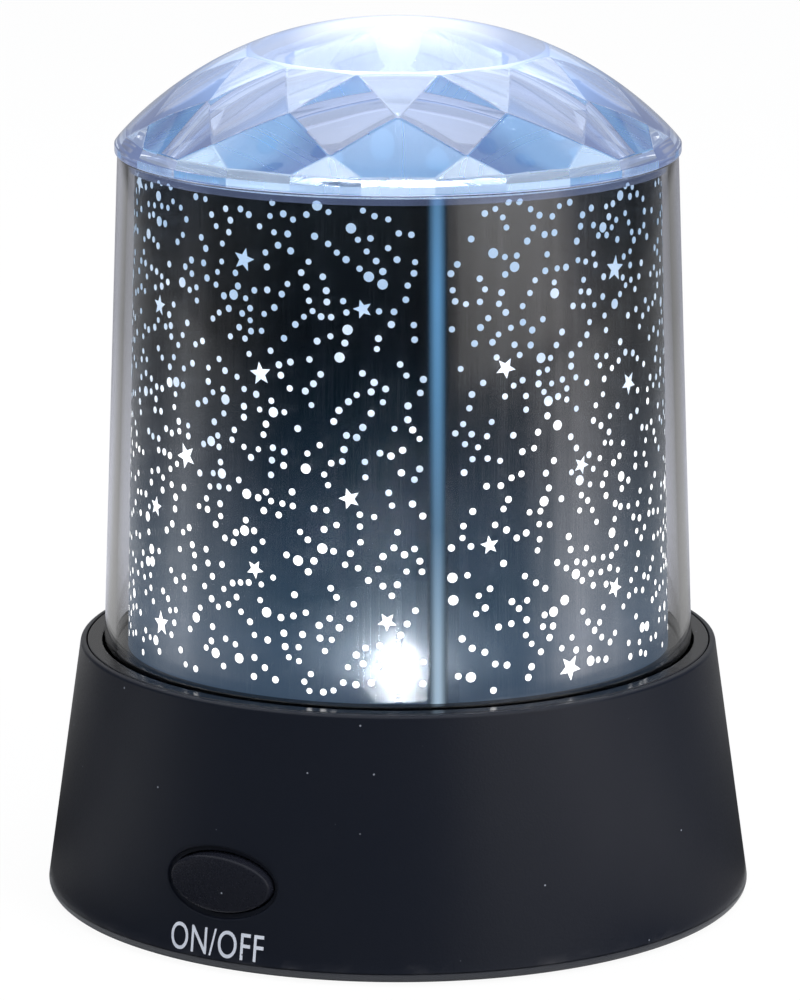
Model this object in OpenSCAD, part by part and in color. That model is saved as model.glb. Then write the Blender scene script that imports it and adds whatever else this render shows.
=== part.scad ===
// Star night light projector: conical base with a push button, clear drum with a
// star film inside, faceted dome on top. Millimetres, +Z up, button facing -Y,
// origin at the centre of the surface that the rubber feet stand on.

/* [Base] */
// Radius of the housing at its lower rim
base_bottom_r = 52.5; // [50:0.5:60]
// Radius of the housing at its upper edge
base_top_r = 47.1; // [46:0.1:50]
// Height of the housing from rim to deck
base_h = 37.7; // [36:0.1:44]
// Thickness of the housing wall
base_wall = 2.2; // [1.6:0.1:3]
// Rounding of the housing's lower rim
rim_round = 1.2; // [0.4:0.1:1.6]
// How far the rubber feet stand below the rim
foot_proud = 0.4; // [0.2:0.1:1.5]

/* [Deck] */
// Thickness of the deck's moulded walls
deck_t = 1.6; // [1.2:0.1:2.2]
// Height of the deck's floor above the rim
floor_h = 30.5; // [29.5:0.1:32]
// How far the floor's edge lies inside the film's seat
floor_in = 2.5; // [2:0.1:8]
// Depth of the groove that the drum stands in
groove_depth = 4; // [2:0.1:4.5]

/* [Drum] */
// Width of the deck's ring outside the drum
ring_w = 3.5; // [3.2:0.1:6]
// How much the drum's radius shrinks from the deck to its top
drum_narrows = 2.7; // [0:0.1:4]
// Height of the drum above the deck
drum_h = 72.8; // [60:0.5:90]
// Thickness of the drum's wall
drum_wall = 1.6; // [1:0.1:2]

/* [Star film] */
// Gap between the drum's wall and the film at the deck
film_gap = 1.9; // [1.6:0.1:2.2]
// Gap between the drum's wall and the film at the film's top
film_top_gap = 1; // [0.8:0.1:1.4]
// Thickness of the film
film_t = 0.3; // [0.2:0.05:0.4]
// How far the film's top edge ends below the dome's flange
film_drop = 0.8; // [0.4:0.1:1.8]
// Width of the light seam between the film's edges
seam_w = 1.6; // [0.5:0.1:3]
// Direction of the seam, turned from the button
seam_turn = 38; // [0:1:359]
// Width of the clear tape over the seam
tape_w = 6; // [4:0.5:12]
// Border of the film that has no windows
film_margin = 3; // [2.6:0.1:6]
// Number of windows in the film
window_count = 196; // [0:1:240]
// One window in this many is a star, the others are dots
star_every = 4; // [1:1:12]
// Largest radius of a star window
star_r = 2.1; // [1:0.1:2.5]
// Radius of a dot window
dot_r = 0.55; // [0.3:0.05:0.9]

/* [Dome] */
// How far the dome's flange stands out past the drum
flange_over = 0.4; // [0:0.1:2]
// Thickness of the flange
flange_t = 1.3; // [1:0.1:2]
// Rise of the crown above the flange
crown_h = 17.7; // [14:0.1:20]
// Thickness of the dome over a facet's corner, measured upright
dome_wall = 1.7; // [1.4:0.1:2.2]
// Number of facets round each row
facet_count = 12; // [8:1:16]
// How far the lowest row of facet corners lies inside the dome's mouth
facet_in_low = 2.1; // [1.5:0.1:3]
// How far the middle row of facet corners lies inside the dome's mouth
facet_in_mid = 8.1; // [7:0.1:10]
// How far the upper row of facet corners lies inside the dome's mouth
facet_in_high = 16.4; // [14:0.1:20]
// Width of the flat ledge between the upper row of facets and the vault over them
vault_ledge = 0.6; // [0.3:0.1:2]
// Depth of the rib under the dome, which stands between the drum's wall and the film's top edge
rib_depth = 1.6; // [1:0.1:3]
// Gap between the rib and the film
rib_gap = 0.3; // [0.2:0.05:0.4]

/* [Button] */
// Width of the oval button
button_w = 16.4; // [12:0.1:18]
// Height of the oval button
button_tall = 8.2; // [6:0.1:9]
// Height of the button's centre above the rim
button_h = 12.4; // [11.5:0.1:14]
// Travel of the button
button_travel = 1.5; // [0.8:0.1:1.8]
// How far the button's middle stands out of the wall
button_proud = 1.3; // [0.8:0.1:2]

/* [Batteries] */
// Diameter of a cell
cell_d = 14.5; // [14:0.1:14.5]
// Length of a cell with its nub
cell_l = 50.5; // [49:0.1:50.5]
// Gap between neighbouring cells
cell_gap = 0.4; // [0.3:0.1:0.8]
// Room for the contacts at the two ends of a cell together
contact_room = 6.7; // [6:0.1:8]
// Thickness of the base plate and its door
plate_t = 2; // [1.6:0.1:2.4]
// How far the base plate is set in above the rim
plate_set = 1; // [0.6:0.1:1.6]

/* [Lamp] */
// Radius of the lamp's lens
lens_r = 2.5; // [1.5:0.1:2.5]
// Height of the lamp from its foot to its tip
lens_h = 8.6; // [7:0.1:9]
// Thickness of the circuit boards
board_t = 1.6; // [1:0.1:1.6]

/* [Hidden] */

$fn = 96;
cut = 1;          // how far a cutter passes the surface that it cuts
seat_gap = 0.15;  // gap round pieces that are dropped into a seat
slip = 0.3;       // gap round pieces that move
fit = 0.05;       // radial clearance of a screw or plunger in its bore

rim_z = foot_proud;
deck_z = rim_z + base_h;
top_z = deck_z + drum_h;

// drum and film
drum_bottom_r = base_top_r - ring_w;
drum_top_r = drum_bottom_r - drum_narrows;
drum_taper = (drum_bottom_r - drum_top_r) / drum_h;
film_bottom_r = drum_bottom_r - drum_wall - film_gap;
film_h = drum_h - film_drop;
film_top_r = drum_bottom_r - drum_taper * film_h - drum_wall - film_top_gap;
film_taper = (film_bottom_r - film_top_r) / film_h;

// housing and deck
lip_w = 0.8;
deck_flange_r = base_top_r - lip_w - seat_gap;
groove_out_r = drum_bottom_r + drum_taper * groove_depth + seat_gap;
groove_in_r = drum_bottom_r - drum_wall - seat_gap;
groove_wall = 0.9;
ledge_in_r = groove_out_r + groove_wall + seat_gap;
ledge_t = 2;
seat_in_r = film_bottom_r - film_t - 0.8;
floor_r = seat_in_r - floor_in;
floor_z = rim_z + floor_h;
groove_z = deck_z - groove_depth;

// base plate and battery bay
plate_z = rim_z + plate_set;
plate_top = plate_z + plate_t;
plate_r = base_bottom_r - base_wall - 0.4;
plate_ledge_w = 2;
plate_ledge_t = 1.5;
bay_wall = 1.6;
bay_half_x = (cell_l + contact_room) / 2;
cell_pitch = cell_d + cell_gap;
bay_half_y = cell_pitch + cell_d / 2 + 0.55;
cell_z = plate_top + slip + cell_d / 2;
bay_top = cell_z + cell_d / 2 + 0.5;
door_ledge = 1.2;
door_half_x = bay_half_x + door_ledge;
door_half_y = bay_half_y + door_ledge;

// case screws: posts on the base plate meet bosses under the deck
post_ring_r = drum_bottom_r - 3.6;
post_turns = [40, 140, 220, 320];
post_r = 4.2;
post_top = bay_top + bay_wall + 2.1;
screw_r = 1.5;
screw_head_r = 2.7;
screw_head_t = 1.8;
screw_seat_z = post_top - 8;
screw_bore_r = screw_head_r + slip;
screw_reach = deck_z - groove_depth - 2.2;

// feet
foot_r = 4.2;
foot_ring_r = plate_r - foot_r - 1.5;
foot_turns = [60, 120, 240, 300];
foot_set = 0.6;

// battery door
tab_y = 14;
tab_w = 6;
tab_l = 2.8;
tab_t = 1.3;
ear_x = bay_half_x + bay_wall + 3.8;
ear_r = 4.2;
door_screw_r = 1.45;
door_screw_neck_r = 1.2;
door_screw_head_r = 2.6;
door_screw_head_t = 1;
door_screw_l = 3;
door_boss_r = ear_r + slip + 1.2;
door_boss_h = 6;
door_bore_r = door_screw_r + 0.35;

// contacts
contact_t = 0.4;
dimple_h = 0.6;
dimple_r = 2.6;
contact_w = 11;
contact_low = 6;
nub_r = 2.75;
nub_h = 1.5;
spring_wire_r = 0.4;
spring_turns = 4;
cells = [[-1, 1], [0, -1], [1, 1]];  // place across the bay, and the way that its nub points

// button and switch
button_z = rim_z + button_h;
button_wall_r = wall_r(button_h);
button_gap = 0.25;
bezel_w = 0.7;
bezel_depth = 0.5;
button_lip = 1.3;
button_lip_t = 1;
lip_front = inner_chord() - slip;
stem_l = 1.6;
stem_r = 2.4;
plunger_r = 1.6;
plunger_l = 5.6;
switch_w = 8.5;
switch_depth = 7.5;
switch_front = lip_front - button_lip_t - stem_l - 3.4;
switch_back = switch_front - switch_depth;
board_back = switch_back - board_t;
board_w = 24;
board_low = plate_top + 1.2;
board_high = button_z + 9;
pillar_x = 8.7;
pillar_w = 4.4;
pillar_depth = 4.6;
small_screw_r = 1;
small_head_r = 1.9;
small_head_t = 1.2;
small_screw_l = 5;
switch_screw_z = button_z + 5.6;
pin_r = 0.3;

// lamp
lamp_board_r = 14;
collar_h = 1;
collar_r = 3.4;
lead_r = 0.25;
lead_x = 1.27;
lamp_board_top = floor_z - deck_t - 1.9;
lamp_board_low = lamp_board_top - board_t;
lamp_foot_z = lamp_board_top + collar_h;
lamp_flange_r = lens_r + 0.4;
lamp_flange_t = 0.9;
lamp_boss_x = 10;
lamp_boss_r = 2.6;
resistor_y = 6;
resistor_r = 1.15;
resistor_l = 6.3;
resistor_span = 10;

// dome: facet corners lie under the crown's surface, one row above the other
flange_r = drum_top_r + flange_over;
crown_power = 2.3;
crown_blend = 0.93;
rib_r = drum_top_r - drum_wall - 0.1;
rib_bore_r = drum_top_r - drum_wall - film_top_gap + rib_gap;
dome_mouth_r = rib_bore_r - 0.1;
facet_r1 = dome_mouth_r - facet_in_low;
facet_r2 = dome_mouth_r - facet_in_mid;
facet_r3 = dome_mouth_r - facet_in_high;
facet_z1 = crown_z(facet_r1) - dome_wall - 0.2;
facet_z3 = crown_z(facet_r3) - dome_wall;
facet_step = 360 / facet_count;
// the second row's height keeps each diamond between the rows flat
facet_z2 = facet_z1 + (facet_z3 - facet_z1)
  * (facet_r1 - facet_r2 * cos(facet_step / 2)) / (facet_r1 - facet_r3);
// the kites of the lowest row run on in their own plane to the mouth's wall
kite_fall = (facet_z2 - facet_z1) / (facet_r1 * cos(facet_step / 2) - facet_r2);
facet_z0 = facet_z1 - kite_fall
  * (dome_mouth_r * cos(facet_step / 4) - facet_r1 * cos(facet_step / 2));

black = "#24242c";
gloss_black = "#18181f";
steel = "#b9bcc2";
copper_board = "#2f6b46";

function wall_r(h) = base_bottom_r - (base_bottom_r - base_top_r) * h / base_h;
// distance from the axis at which a flat plate as wide as the button's lip clears the wall
function inner_chord() =
  let (half_w = button_w / 2 + button_lip, half_h = button_tall / 2 + button_lip)
  sqrt(pow(wall_r(button_h + half_h) - base_wall, 2) - pow(half_w, 2));
function crown_z(r) = top_z + flange_t
  + crown_h * pow(1 - pow(min(r / flange_r, 1), crown_power), crown_blend);
function arc(cx, cy, r, a0, a1, n = 6) =
  [for (i = [0:n]) let (a = a0 + (a1 - a0) * i / n) [cx + r * cos(a), cy + r * sin(a)]];
function oval(rx, ry, n = 48) = [for (i = [0:n - 1]) [rx * cos(i * 360 / n), ry * sin(i * 360 / n)]];
function ring_points(r, z, count, phase) =
  [for (i = [0:count - 1]) let (a = i * 360 / count + phase) [r * sin(a), -r * cos(a), z]];
function star_points(r) =
  [for (i = [0:9]) let (q = i % 2 == 0 ? r : r * 0.42) [q * sin(i * 36), q * cos(i * 36)]];

// a round wire along a path: one ring of points for each point of the path
function unit(v) = v / norm(v);
function path_way(p, i) = unit(p[min(i + 1, len(p) - 1)] - p[max(i - 1, 0)]);
function wire_ring(p, i, r, sides, side_on) =
  let (t = path_way(p, i), u = unit(cross(t, side_on)), v = cross(t, u))
  [for (k = [0:sides - 1]) p[i] + r * cos(k * 360 / sides) * u + r * sin(k * 360 / sides) * v];

module wire(path, r, sides = 8, side_on = [0.13, 0.21, 0.97]) {
  rings = len(path);
  points = [for (i = [0:rings - 1]) each wire_ring(path, i, r, sides, side_on)];
  walls = [for (i = [0:rings - 2], k = [0:sides - 1], half = [0, 1])
    let (n = (k + 1) % sides)
    half == 0 ? [i * sides + k, (i + 1) * sides + k, (i + 1) * sides + n]
      : [i * sides + k, (i + 1) * sides + n, i * sides + n]];
  first = [for (k = [0:sides - 1]) k];
  last = [for (k = [sides - 1:-1:0]) (rings - 1) * sides + k];
  polyhedron(points, concat([first], walls, [last]), convexity = 6);
}

// turns a shape drawn at the front, -Y, to another direction round the axis
module turned(a) {
  rotate([0, 0, a]) children();
}

module front_prism(y0, y1, z) {
  translate([0, -y0, z]) rotate([90, 0, 0]) linear_extrude(height = y1 - y0) children();
}

module frustum(r0, r1, z0, z1) {
  translate([0, 0, z0]) cylinder(r1 = r0, r2 = r1, h = z1 - z0);
}

// ---- base ----

module base_shell() {
  inner_low = base_bottom_r - base_wall - 0.2;
  ledge_low = plate_set + plate_t;
  ledge_in = plate_r - plate_ledge_w;
  lip_low = base_h - deck_t - ledge_t;
  outline = concat(
    arc(base_bottom_r - rim_round, rim_round, rim_round, -90, -8),
    arc(base_top_r - 0.5, base_h - 0.5, 0.5, 8, 90, 4),
    [
      [deck_flange_r + seat_gap, base_h],
      [deck_flange_r + seat_gap, base_h - deck_t],
      [ledge_in_r, base_h - deck_t],
      [ledge_in_r, lip_low],
      [wall_r(lip_low - 1) - base_wall, lip_low - 1],
      [wall_r(ledge_low + plate_ledge_t + 1) - base_wall, ledge_low + plate_ledge_t + 1],
      [ledge_in, ledge_low + plate_ledge_t],
      [ledge_in, ledge_low],
      [inner_low, ledge_low],
      [inner_low, 0]
    ]);
  color(black) difference() {
    translate([0, 0, rim_z]) rotate_extrude($fn = 160) polygon(outline);
    front_prism(button_wall_r - 12, button_wall_r + 4, button_z)
      polygon(oval(button_w / 2 + button_gap, button_tall / 2 + button_gap));
    // shallow bezel sunk round the button, following the wall
    difference() {
      front_prism(button_wall_r - 4, button_wall_r + 4, button_z)
        polygon(oval(button_w / 2 + button_gap + bezel_w, button_tall / 2 + button_gap + bezel_w));
      frustum(base_bottom_r - bezel_depth, base_top_r - bezel_depth, rim_z, deck_z);
    }
  }
}

module top_deck() {
  under = groove_z - deck_t;
  outline = [
    [lens_r + 0.2, floor_z],
    [floor_r, floor_z],
    [seat_in_r, deck_z],
    [groove_in_r, deck_z],
    [groove_in_r, groove_z],
    [groove_out_r, groove_z],
    [groove_out_r, deck_z - 0.3],
    [groove_out_r + 0.3, deck_z],
    [deck_flange_r - 0.2, deck_z],
    [deck_flange_r, deck_z - 0.2],
    [deck_flange_r, deck_z - deck_t],
    [groove_out_r + groove_wall, deck_z - deck_t],
    [groove_out_r + groove_wall, under],
    [floor_r + 2.4, under],
    [floor_r + deck_t, floor_z - deck_t],
    [lens_r + 0.2, floor_z - deck_t]
  ];
  color(gloss_black) difference() {
    union() {
      rotate_extrude($fn = 160) polygon(outline);
      for (a = post_turns) turned(a) translate([0, -post_ring_r, post_top])
        cylinder(r = post_r, h = under - post_top + 0.5, $fn = 48);
      for (s = [-1, 1]) translate([s * lamp_boss_x, 0, lamp_board_top])
        cylinder(r = lamp_boss_r, h = floor_z - deck_t - lamp_board_top + 0.5, $fn = 32);
    }
    for (a = post_turns) turned(a) translate([0, -post_ring_r, post_top - cut])
      cylinder(r = screw_r + fit, h = screw_reach - post_top + 0.6 + cut, $fn = 32);
    for (s = [-1, 1]) translate([s * lamp_boss_x, 0, lamp_board_top - cut])
      cylinder(r = small_screw_r + fit, h = 2.6 + cut, $fn = 24);
  }
}

module plate_outline() {
  difference() {
    circle(r = plate_r, $fn = 160);
    square([2 * door_half_x, 2 * door_half_y], center = true);
    hull() {
      translate([door_half_x - 2, 0]) square([2, 2 * (ear_r + slip)], center = true);
      translate([ear_x, 0]) circle(r = ear_r + slip, $fn = 32);
    }
  }
}

module base_plate() {
  wall_x = bay_half_x + bay_wall;
  wall_y = bay_half_y + bay_wall;
  color(black) difference() {
    union() {
      translate([0, 0, plate_z]) linear_extrude(height = plate_t) plate_outline();
      // battery bay: walls and ceiling
      difference() {
        translate([-wall_x, -wall_y, plate_top])
          cube([2 * wall_x, 2 * wall_y, bay_top + bay_wall - plate_top]);
        translate([-bay_half_x, -bay_half_y, plate_top - cut])
          cube([2 * bay_half_x, 2 * bay_half_y, bay_top - plate_top + cut]);
      }
      for (a = post_turns) turned(a) translate([0, -post_ring_r, plate_z])
        cylinder(r = post_r, h = post_top - plate_z, $fn = 48);
      // boss over the door's ear takes the door screw
      translate([ear_x, 0, plate_top]) cylinder(r = door_boss_r, h = door_boss_h, $fn = 48);
      // pillars that the switch board is screwed to
      for (s = [-1, 1]) translate([s * pillar_x - pillar_w / 2, -board_back, plate_top - 0.01])
        cube([pillar_w, pillar_depth, switch_screw_z + 2.2 - plate_top]);
    }
    // counterbores and holes of the case screws
    for (a = post_turns) turned(a) translate([0, -post_ring_r, 0]) {
      translate([0, 0, plate_z - cut]) cylinder(r = screw_bore_r, h = screw_seat_z - plate_z + cut, $fn = 40);
      cylinder(r = screw_r + slip, h = post_top + cut, $fn = 32);
    }
    // recesses for the feet
    for (a = foot_turns) turned(a) translate([0, -foot_ring_r, plate_z - cut])
      cylinder(r = foot_r + 0.1, h = foot_set + cut, $fn = 40);
    // blind hole for the door screw
    translate([ear_x, 0, plate_top - cut]) cylinder(r = door_bore_r, h = door_screw_l + 1 + cut, $fn = 32);
    // slots in the bay's end wall for the door's tabs
    for (s = [-1, 1]) translate([-wall_x - 3, s * tab_y - tab_w / 2 - slip, plate_top])
      cube([bay_wall + 3 + cut, tab_w + 2 * slip, 3.2]);
    for (s = [-1, 1]) translate([s * pillar_x, -board_back + small_screw_l, switch_screw_z])
      rotate([90, 0, 0]) cylinder(r = small_screw_r + fit, h = small_screw_l + cut, $fn = 24);
  }
}

module battery_door() {
  color(black) difference() {
    union() {
      translate([0, 0, plate_z]) linear_extrude(height = plate_t) {
        square([2 * (door_half_x - slip), 2 * (door_half_y - slip)], center = true);
        hull() {
          translate([door_half_x - 3, 0]) square([2, 2 * ear_r], center = true);
          translate([ear_x, 0]) circle(r = ear_r, $fn = 32);
        }
      }
      // tabs that reach over the plate's edge
      for (s = [-1, 1]) {
        translate([-door_half_x + slip, s * tab_y - tab_w / 2, plate_top - 0.5])
          cube([1.1, tab_w, tab_t + 0.6]);
        translate([-door_half_x - tab_l, s * tab_y - tab_w / 2, plate_top + 0.1])
          cube([tab_l + slip + 1, tab_w, tab_t]);
      }
    }
    translate([ear_x, 0, plate_z - cut])
      cylinder(r = door_screw_head_r + 0.2, h = door_screw_head_t + 0.2 + cut, $fn = 40);
    translate([ear_x, 0, plate_z]) cylinder(r = door_screw_neck_r + fit, h = plate_t + cut, $fn = 32);
    // grip ribs are cut as shallow grooves near the ear
    for (i = [0:4]) translate([door_half_x - 8 - i * 2, -8, plate_z - cut]) cube([0.8, 16, 0.5 + cut]);
  }
}

module cross_slot(r) {
  for (a = [0, 90]) rotate([0, 0, a]) cube([2 * r, 0.7, 1.2], center = true);
}

module door_screw() {
  color(steel) translate([ear_x, 0, plate_z + 0.2]) difference() {
    union() {
      cylinder(r = door_screw_head_r, h = door_screw_head_t, $fn = 40);
      cylinder(r = door_screw_neck_r, h = plate_t, $fn = 32);
      translate([0, 0, plate_t - 0.2]) cylinder(r = door_screw_r, h = door_screw_l, $fn = 32);
    }
    cross_slot(1.6);
  }
}

module case_screws() {
  color(steel) for (a = post_turns) turned(a) translate([0, -post_ring_r, 0]) difference() {
    union() {
      translate([0, 0, screw_seat_z - screw_head_t]) cylinder(r = screw_head_r, h = screw_head_t, $fn = 40);
      translate([0, 0, screw_seat_z - 0.1]) cylinder(r = screw_r, h = screw_reach - screw_seat_z, $fn = 32);
    }
    translate([0, 0, screw_seat_z - screw_head_t]) cross_slot(1.7);
  }
}

module rubber_feet() {
  color("#3a3a3e") for (a = foot_turns) turned(a) translate([0, -foot_ring_r, 0])
    cylinder(r = foot_r, h = plate_z + foot_set, $fn = 40);
}

// ---- batteries ----

module battery_cell(place, way) {
  can_l = cell_l - nub_h;
  tip_x = bay_half_x - contact_t - dimple_h;
  translate([0, place * cell_pitch, cell_z]) rotate([0, way > 0 ? 90 : -90, 0]) {
    translate([0, 0, tip_x - cell_l]) cylinder(r = cell_d / 2, h = can_l, $fn = 64);
    translate([0, 0, tip_x - nub_h - 0.1]) cylinder(r = nub_r, h = nub_h + 0.1, $fn = 40);
  }
}

module battery_cell_left() {
  color("#c8a24a") battery_cell(cells[0][0], cells[0][1]);
}

module battery_cell_middle() {
  color("#c8a24a") battery_cell(cells[1][0], cells[1][1]);
}

module battery_cell_right() {
  color("#c8a24a") battery_cell(cells[2][0], cells[2][1]);
}

module contact_springs() {
  rest_x = bay_half_x - contact_t - dimple_h - cell_l;
  spring_l = bay_half_x - contact_t + rest_x;
  turn_steps = 12;
  color(steel) for (c = cells) translate([0, c[0] * cell_pitch, cell_z]) mirror([c[1] > 0 ? 0 : 1, 0, 0]) {
    coil = [for (i = [0:spring_turns * turn_steps])
      let (s = i / (spring_turns * turn_steps), r = 5.2 - 1.6 * s, a = i * 360 / turn_steps)
      [-bay_half_x + contact_t + spring_wire_r
        + (spring_l - 2 * spring_wire_r) * s, r * cos(a), r * sin(a)]];
    wire(coil, spring_wire_r, 6, [1, 0, 0]);
    contact_sheet(0);
  }
}

// sheet contact on the bay's end wall at -X
module contact_sheet(dimple) {
  translate([-bay_half_x, -contact_w / 2, plate_top + contact_low - cell_z])
    cube([contact_t, contact_w, bay_top - plate_top - contact_low - 0.2]);
  if (dimple > 0) translate([-bay_half_x + contact_t - 0.01, 0, 0]) rotate([0, 90, 0])
    cylinder(r1 = dimple_r, r2 = dimple_r - 0.5, h = dimple + 0.01, $fn = 32);
}

module contact_plates() {
  color(steel) for (c = cells) translate([0, c[0] * cell_pitch, cell_z])
    mirror([c[1] > 0 ? 1 : 0, 0, 0]) contact_sheet(dimple_h);
}

// ---- button and switch ----

module button_cap() {
  crown = 26;
  face = button_wall_r + button_proud;
  color(gloss_black) union() {
    intersection() {
      front_prism(lip_front - 0.5, face + cut, button_z) polygon(oval(button_w / 2, button_tall / 2));
      translate([0, -(face - crown), button_z]) sphere(r = crown, $fn = 120);
    }
    front_prism(lip_front - button_lip_t, lip_front, button_z)
      polygon(oval(button_w / 2 + button_lip, button_tall / 2 + button_lip));
    front_prism(lip_front - button_lip_t - stem_l, lip_front - 0.2, button_z) circle(r = stem_r, $fn = 32);
  }
}

module switch_plunger() {
  tip = lip_front - button_lip_t - stem_l;
  color("#e8e8ea") front_prism(tip - plunger_l, tip, button_z) circle(r = plunger_r, $fn = 40);
}

module switch_body() {
  hole_depth = plunger_l - 3.4 + button_travel + 0.5;
  color("#2b2b30") difference() {
    union() {
      front_prism(switch_back, switch_front, button_z) square(switch_w, center = true);
      front_prism(switch_front - 0.1, switch_front + 1, button_z) circle(r = 3, $fn = 40);
    }
    front_prism(switch_front - hole_depth, switch_front + 1 + cut, button_z)
      circle(r = plunger_r + 0.08, $fn = 40);
  }
  color(steel) for (x = [-2.5, 2.5], z = [-2.5, 2.5])
    translate([x, 0, z]) front_prism(board_back - 0.8, switch_back, button_z) circle(r = pin_r, $fn = 16);
}

module switch_board() {
  color(copper_board) difference() {
    translate([-board_w / 2, -switch_back, board_low]) cube([board_w, board_t, board_high - board_low]);
    for (x = [-2.5, 2.5], z = [-2.5, 2.5])
      translate([x, 0, z]) front_prism(board_back - cut, switch_back + cut, button_z)
        circle(r = pin_r + 0.1, $fn = 16);
    for (s = [-1, 1]) translate([s * pillar_x, 0, 0])
      front_prism(board_back - cut, switch_back + cut, switch_screw_z)
        circle(r = small_screw_r + 0.2, $fn = 24);
  }
}

module small_screw() {
  difference() {
    union() {
      cylinder(r = small_head_r, h = small_head_t, $fn = 32);
      translate([0, 0, -small_screw_l]) cylinder(r = small_screw_r, h = small_screw_l + 0.1, $fn = 24);
    }
    translate([0, 0, small_head_t]) cross_slot(1.2);
  }
}

module switch_board_screws() {
  color(steel) for (s = [-1, 1]) translate([s * pillar_x, -switch_back, switch_screw_z])
    rotate([90, 0, 0]) small_screw();
}

// ---- lamp ----

module lamp_board() {
  color(copper_board) difference() {
    translate([0, 0, lamp_board_low]) cylinder(r = lamp_board_r, h = board_t, $fn = 80);
    for (s = [-1, 1]) {
      translate([s * lamp_boss_x, 0, lamp_board_low - cut])
        cylinder(r = small_screw_r + 0.2, h = board_t + 2 * cut, $fn = 24);
      translate([s * lead_x, 0, lamp_board_low - cut])
        cylinder(r = lead_r + 0.12, h = board_t + 2 * cut, $fn = 16);
      translate([s * resistor_span / 2, resistor_y, lamp_board_low - cut])
        cylinder(r = lead_r + 0.12, h = board_t + 2 * cut, $fn = 16);
    }
  }
}

module lamp_board_screws() {
  reach = board_t + 2;
  color(steel) for (s = [-1, 1]) translate([s * lamp_boss_x, 0, lamp_board_low]) difference() {
    union() {
      translate([0, 0, -small_head_t]) cylinder(r = small_head_r, h = small_head_t, $fn = 32);
      translate([0, 0, -0.1]) cylinder(r = small_screw_r, h = reach + 0.1, $fn = 24);
    }
    translate([0, 0, -small_head_t]) cross_slot(1.2);
  }
}

module lamp_collar() {
  color(gloss_black) difference() {
    translate([0, 0, lamp_board_top]) cylinder(r = collar_r, h = collar_h, $fn = 48);
    for (s = [-1, 1]) translate([s * lead_x, 0, lamp_board_top - cut])
      cylinder(r = lead_r + 0.12, h = collar_h + 2 * cut, $fn = 16);
  }
}

module led_lamp() {
  tip_z = lamp_foot_z + lens_h;
  color("#eef4ff") {
    translate([0, 0, lamp_foot_z]) cylinder(r = lamp_flange_r, h = lamp_flange_t, $fn = 48);
    translate([0, 0, lamp_foot_z]) cylinder(r = lens_r, h = lens_h - lens_r, $fn = 48);
    translate([0, 0, tip_z - lens_r]) sphere(r = lens_r, $fn = 48);
  }
  color(steel) for (s = [-1, 1]) translate([s * lead_x, 0, lamp_board_low - 0.8])
    cylinder(r = lead_r, h = lamp_foot_z + 0.2 - lamp_board_low + 0.8, $fn = 16);
}

module series_resistor() {
  low = lamp_board_low - resistor_r - 0.1;
  color("#d8c69a") {
    translate([-resistor_l / 2, resistor_y, low]) rotate([0, 90, 0])
      cylinder(r = resistor_r * 0.85, h = resistor_l, $fn = 32);
    for (s = [-1, 1]) translate([s * (resistor_l / 2 - 0.75) - 0.75, resistor_y, low]) rotate([0, 90, 0])
      cylinder(r = resistor_r, h = 1.5, $fn = 32);
  }
  color(steel) {
    translate([-resistor_span / 2, resistor_y, low]) rotate([0, 90, 0])
      cylinder(r = lead_r, h = resistor_span, $fn = 16);
    for (s = [-1, 1]) translate([s * resistor_span / 2, resistor_y, low - lead_r])
      cylinder(r = lead_r, h = lamp_board_top + 0.5 - low + lead_r, $fn = 16);
  }
}

// ---- wires, held inside the base ----

wire_r = 0.6;
lamp_pad_z = lamp_board_low - wire_r;
switch_pad_y = -(board_back - wire_r - 0.1);
wire_x = bay_half_x + bay_wall + 0.8;
wire_route_positive = [
  [wire_x, -18, bay_top - 1.4], [wire_x + 1.6, -18.2, bay_top], [wire_x + 2.2, -18.6, bay_top + 1.8],
  [wire_x + 1, -18.6, bay_top + 3.4], [wire_x - 3, -17.5, bay_top + 4.2], [16, -9, bay_top + 4.2],
  [11, -4.6, bay_top + 4.4], [8.8, -3.2, lamp_pad_z - 0.9], [8, -2.6, lamp_pad_z]
];
wire_route_switched = [
  [-2.5, switch_pad_y, button_z + 4.6], [-2.8, switch_pad_y + 0.8, button_z + 6.2],
  [-3.4, -27, bay_top + 1.6], [-4.2, -22, bay_top + 3.8], [-5, -14, bay_top + 4.2],
  [-6, -8, bay_top + 4.6], [-6.4, -6, lamp_pad_z - 0.9], [-6.6, -5, lamp_pad_z]
];
wire_route_negative = [
  [-wire_x, -18, bay_top - 1.4], [-wire_x - 1.6, -18.2, bay_top], [-wire_x - 1.8, -18.4, bay_top + 1.8],
  [-wire_x + 0.4, -18.4, bay_top + 3.4], [-wire_x + 5, -18.6, bay_top + 3.8], [-18, -20.5, bay_top + 3.8],
  [-14.6, -24.6, bay_top + 3.4], [-12.8, -27.8, bay_top + 1.2], [-12, switch_pad_y + 0.5, button_z + 3.6],
  [-11.7, switch_pad_y, button_z + 1]
];

module wire_positive() {
  color("#b3262a") wire(wire_route_positive, wire_r);
}

module wire_switched() {
  color("#d9d9d9") wire(wire_route_switched, wire_r);
}

module wire_negative() {
  color("#202020") wire(wire_route_negative, wire_r);
}

// ---- drum, film and dome ----

module clear_drum() {
  low_r = drum_bottom_r + drum_taper * groove_depth;
  color([0.8, 0.85, 0.9, 0.35]) rotate_extrude($fn = 160) polygon([
    [low_r - drum_wall, groove_z],
    [low_r, groove_z],
    [drum_top_r, top_z],
    [drum_top_r - drum_wall, top_z]
  ]);
}

// cuts a window through the film at an angle and a height above the deck
module film_window(a, h) {
  r = film_bottom_r - film_taper * h;
  turned(a) translate([0, -(r - 1.2), deck_z + h]) rotate([90, 0, 0]) linear_extrude(height = 2) children();
}

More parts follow.
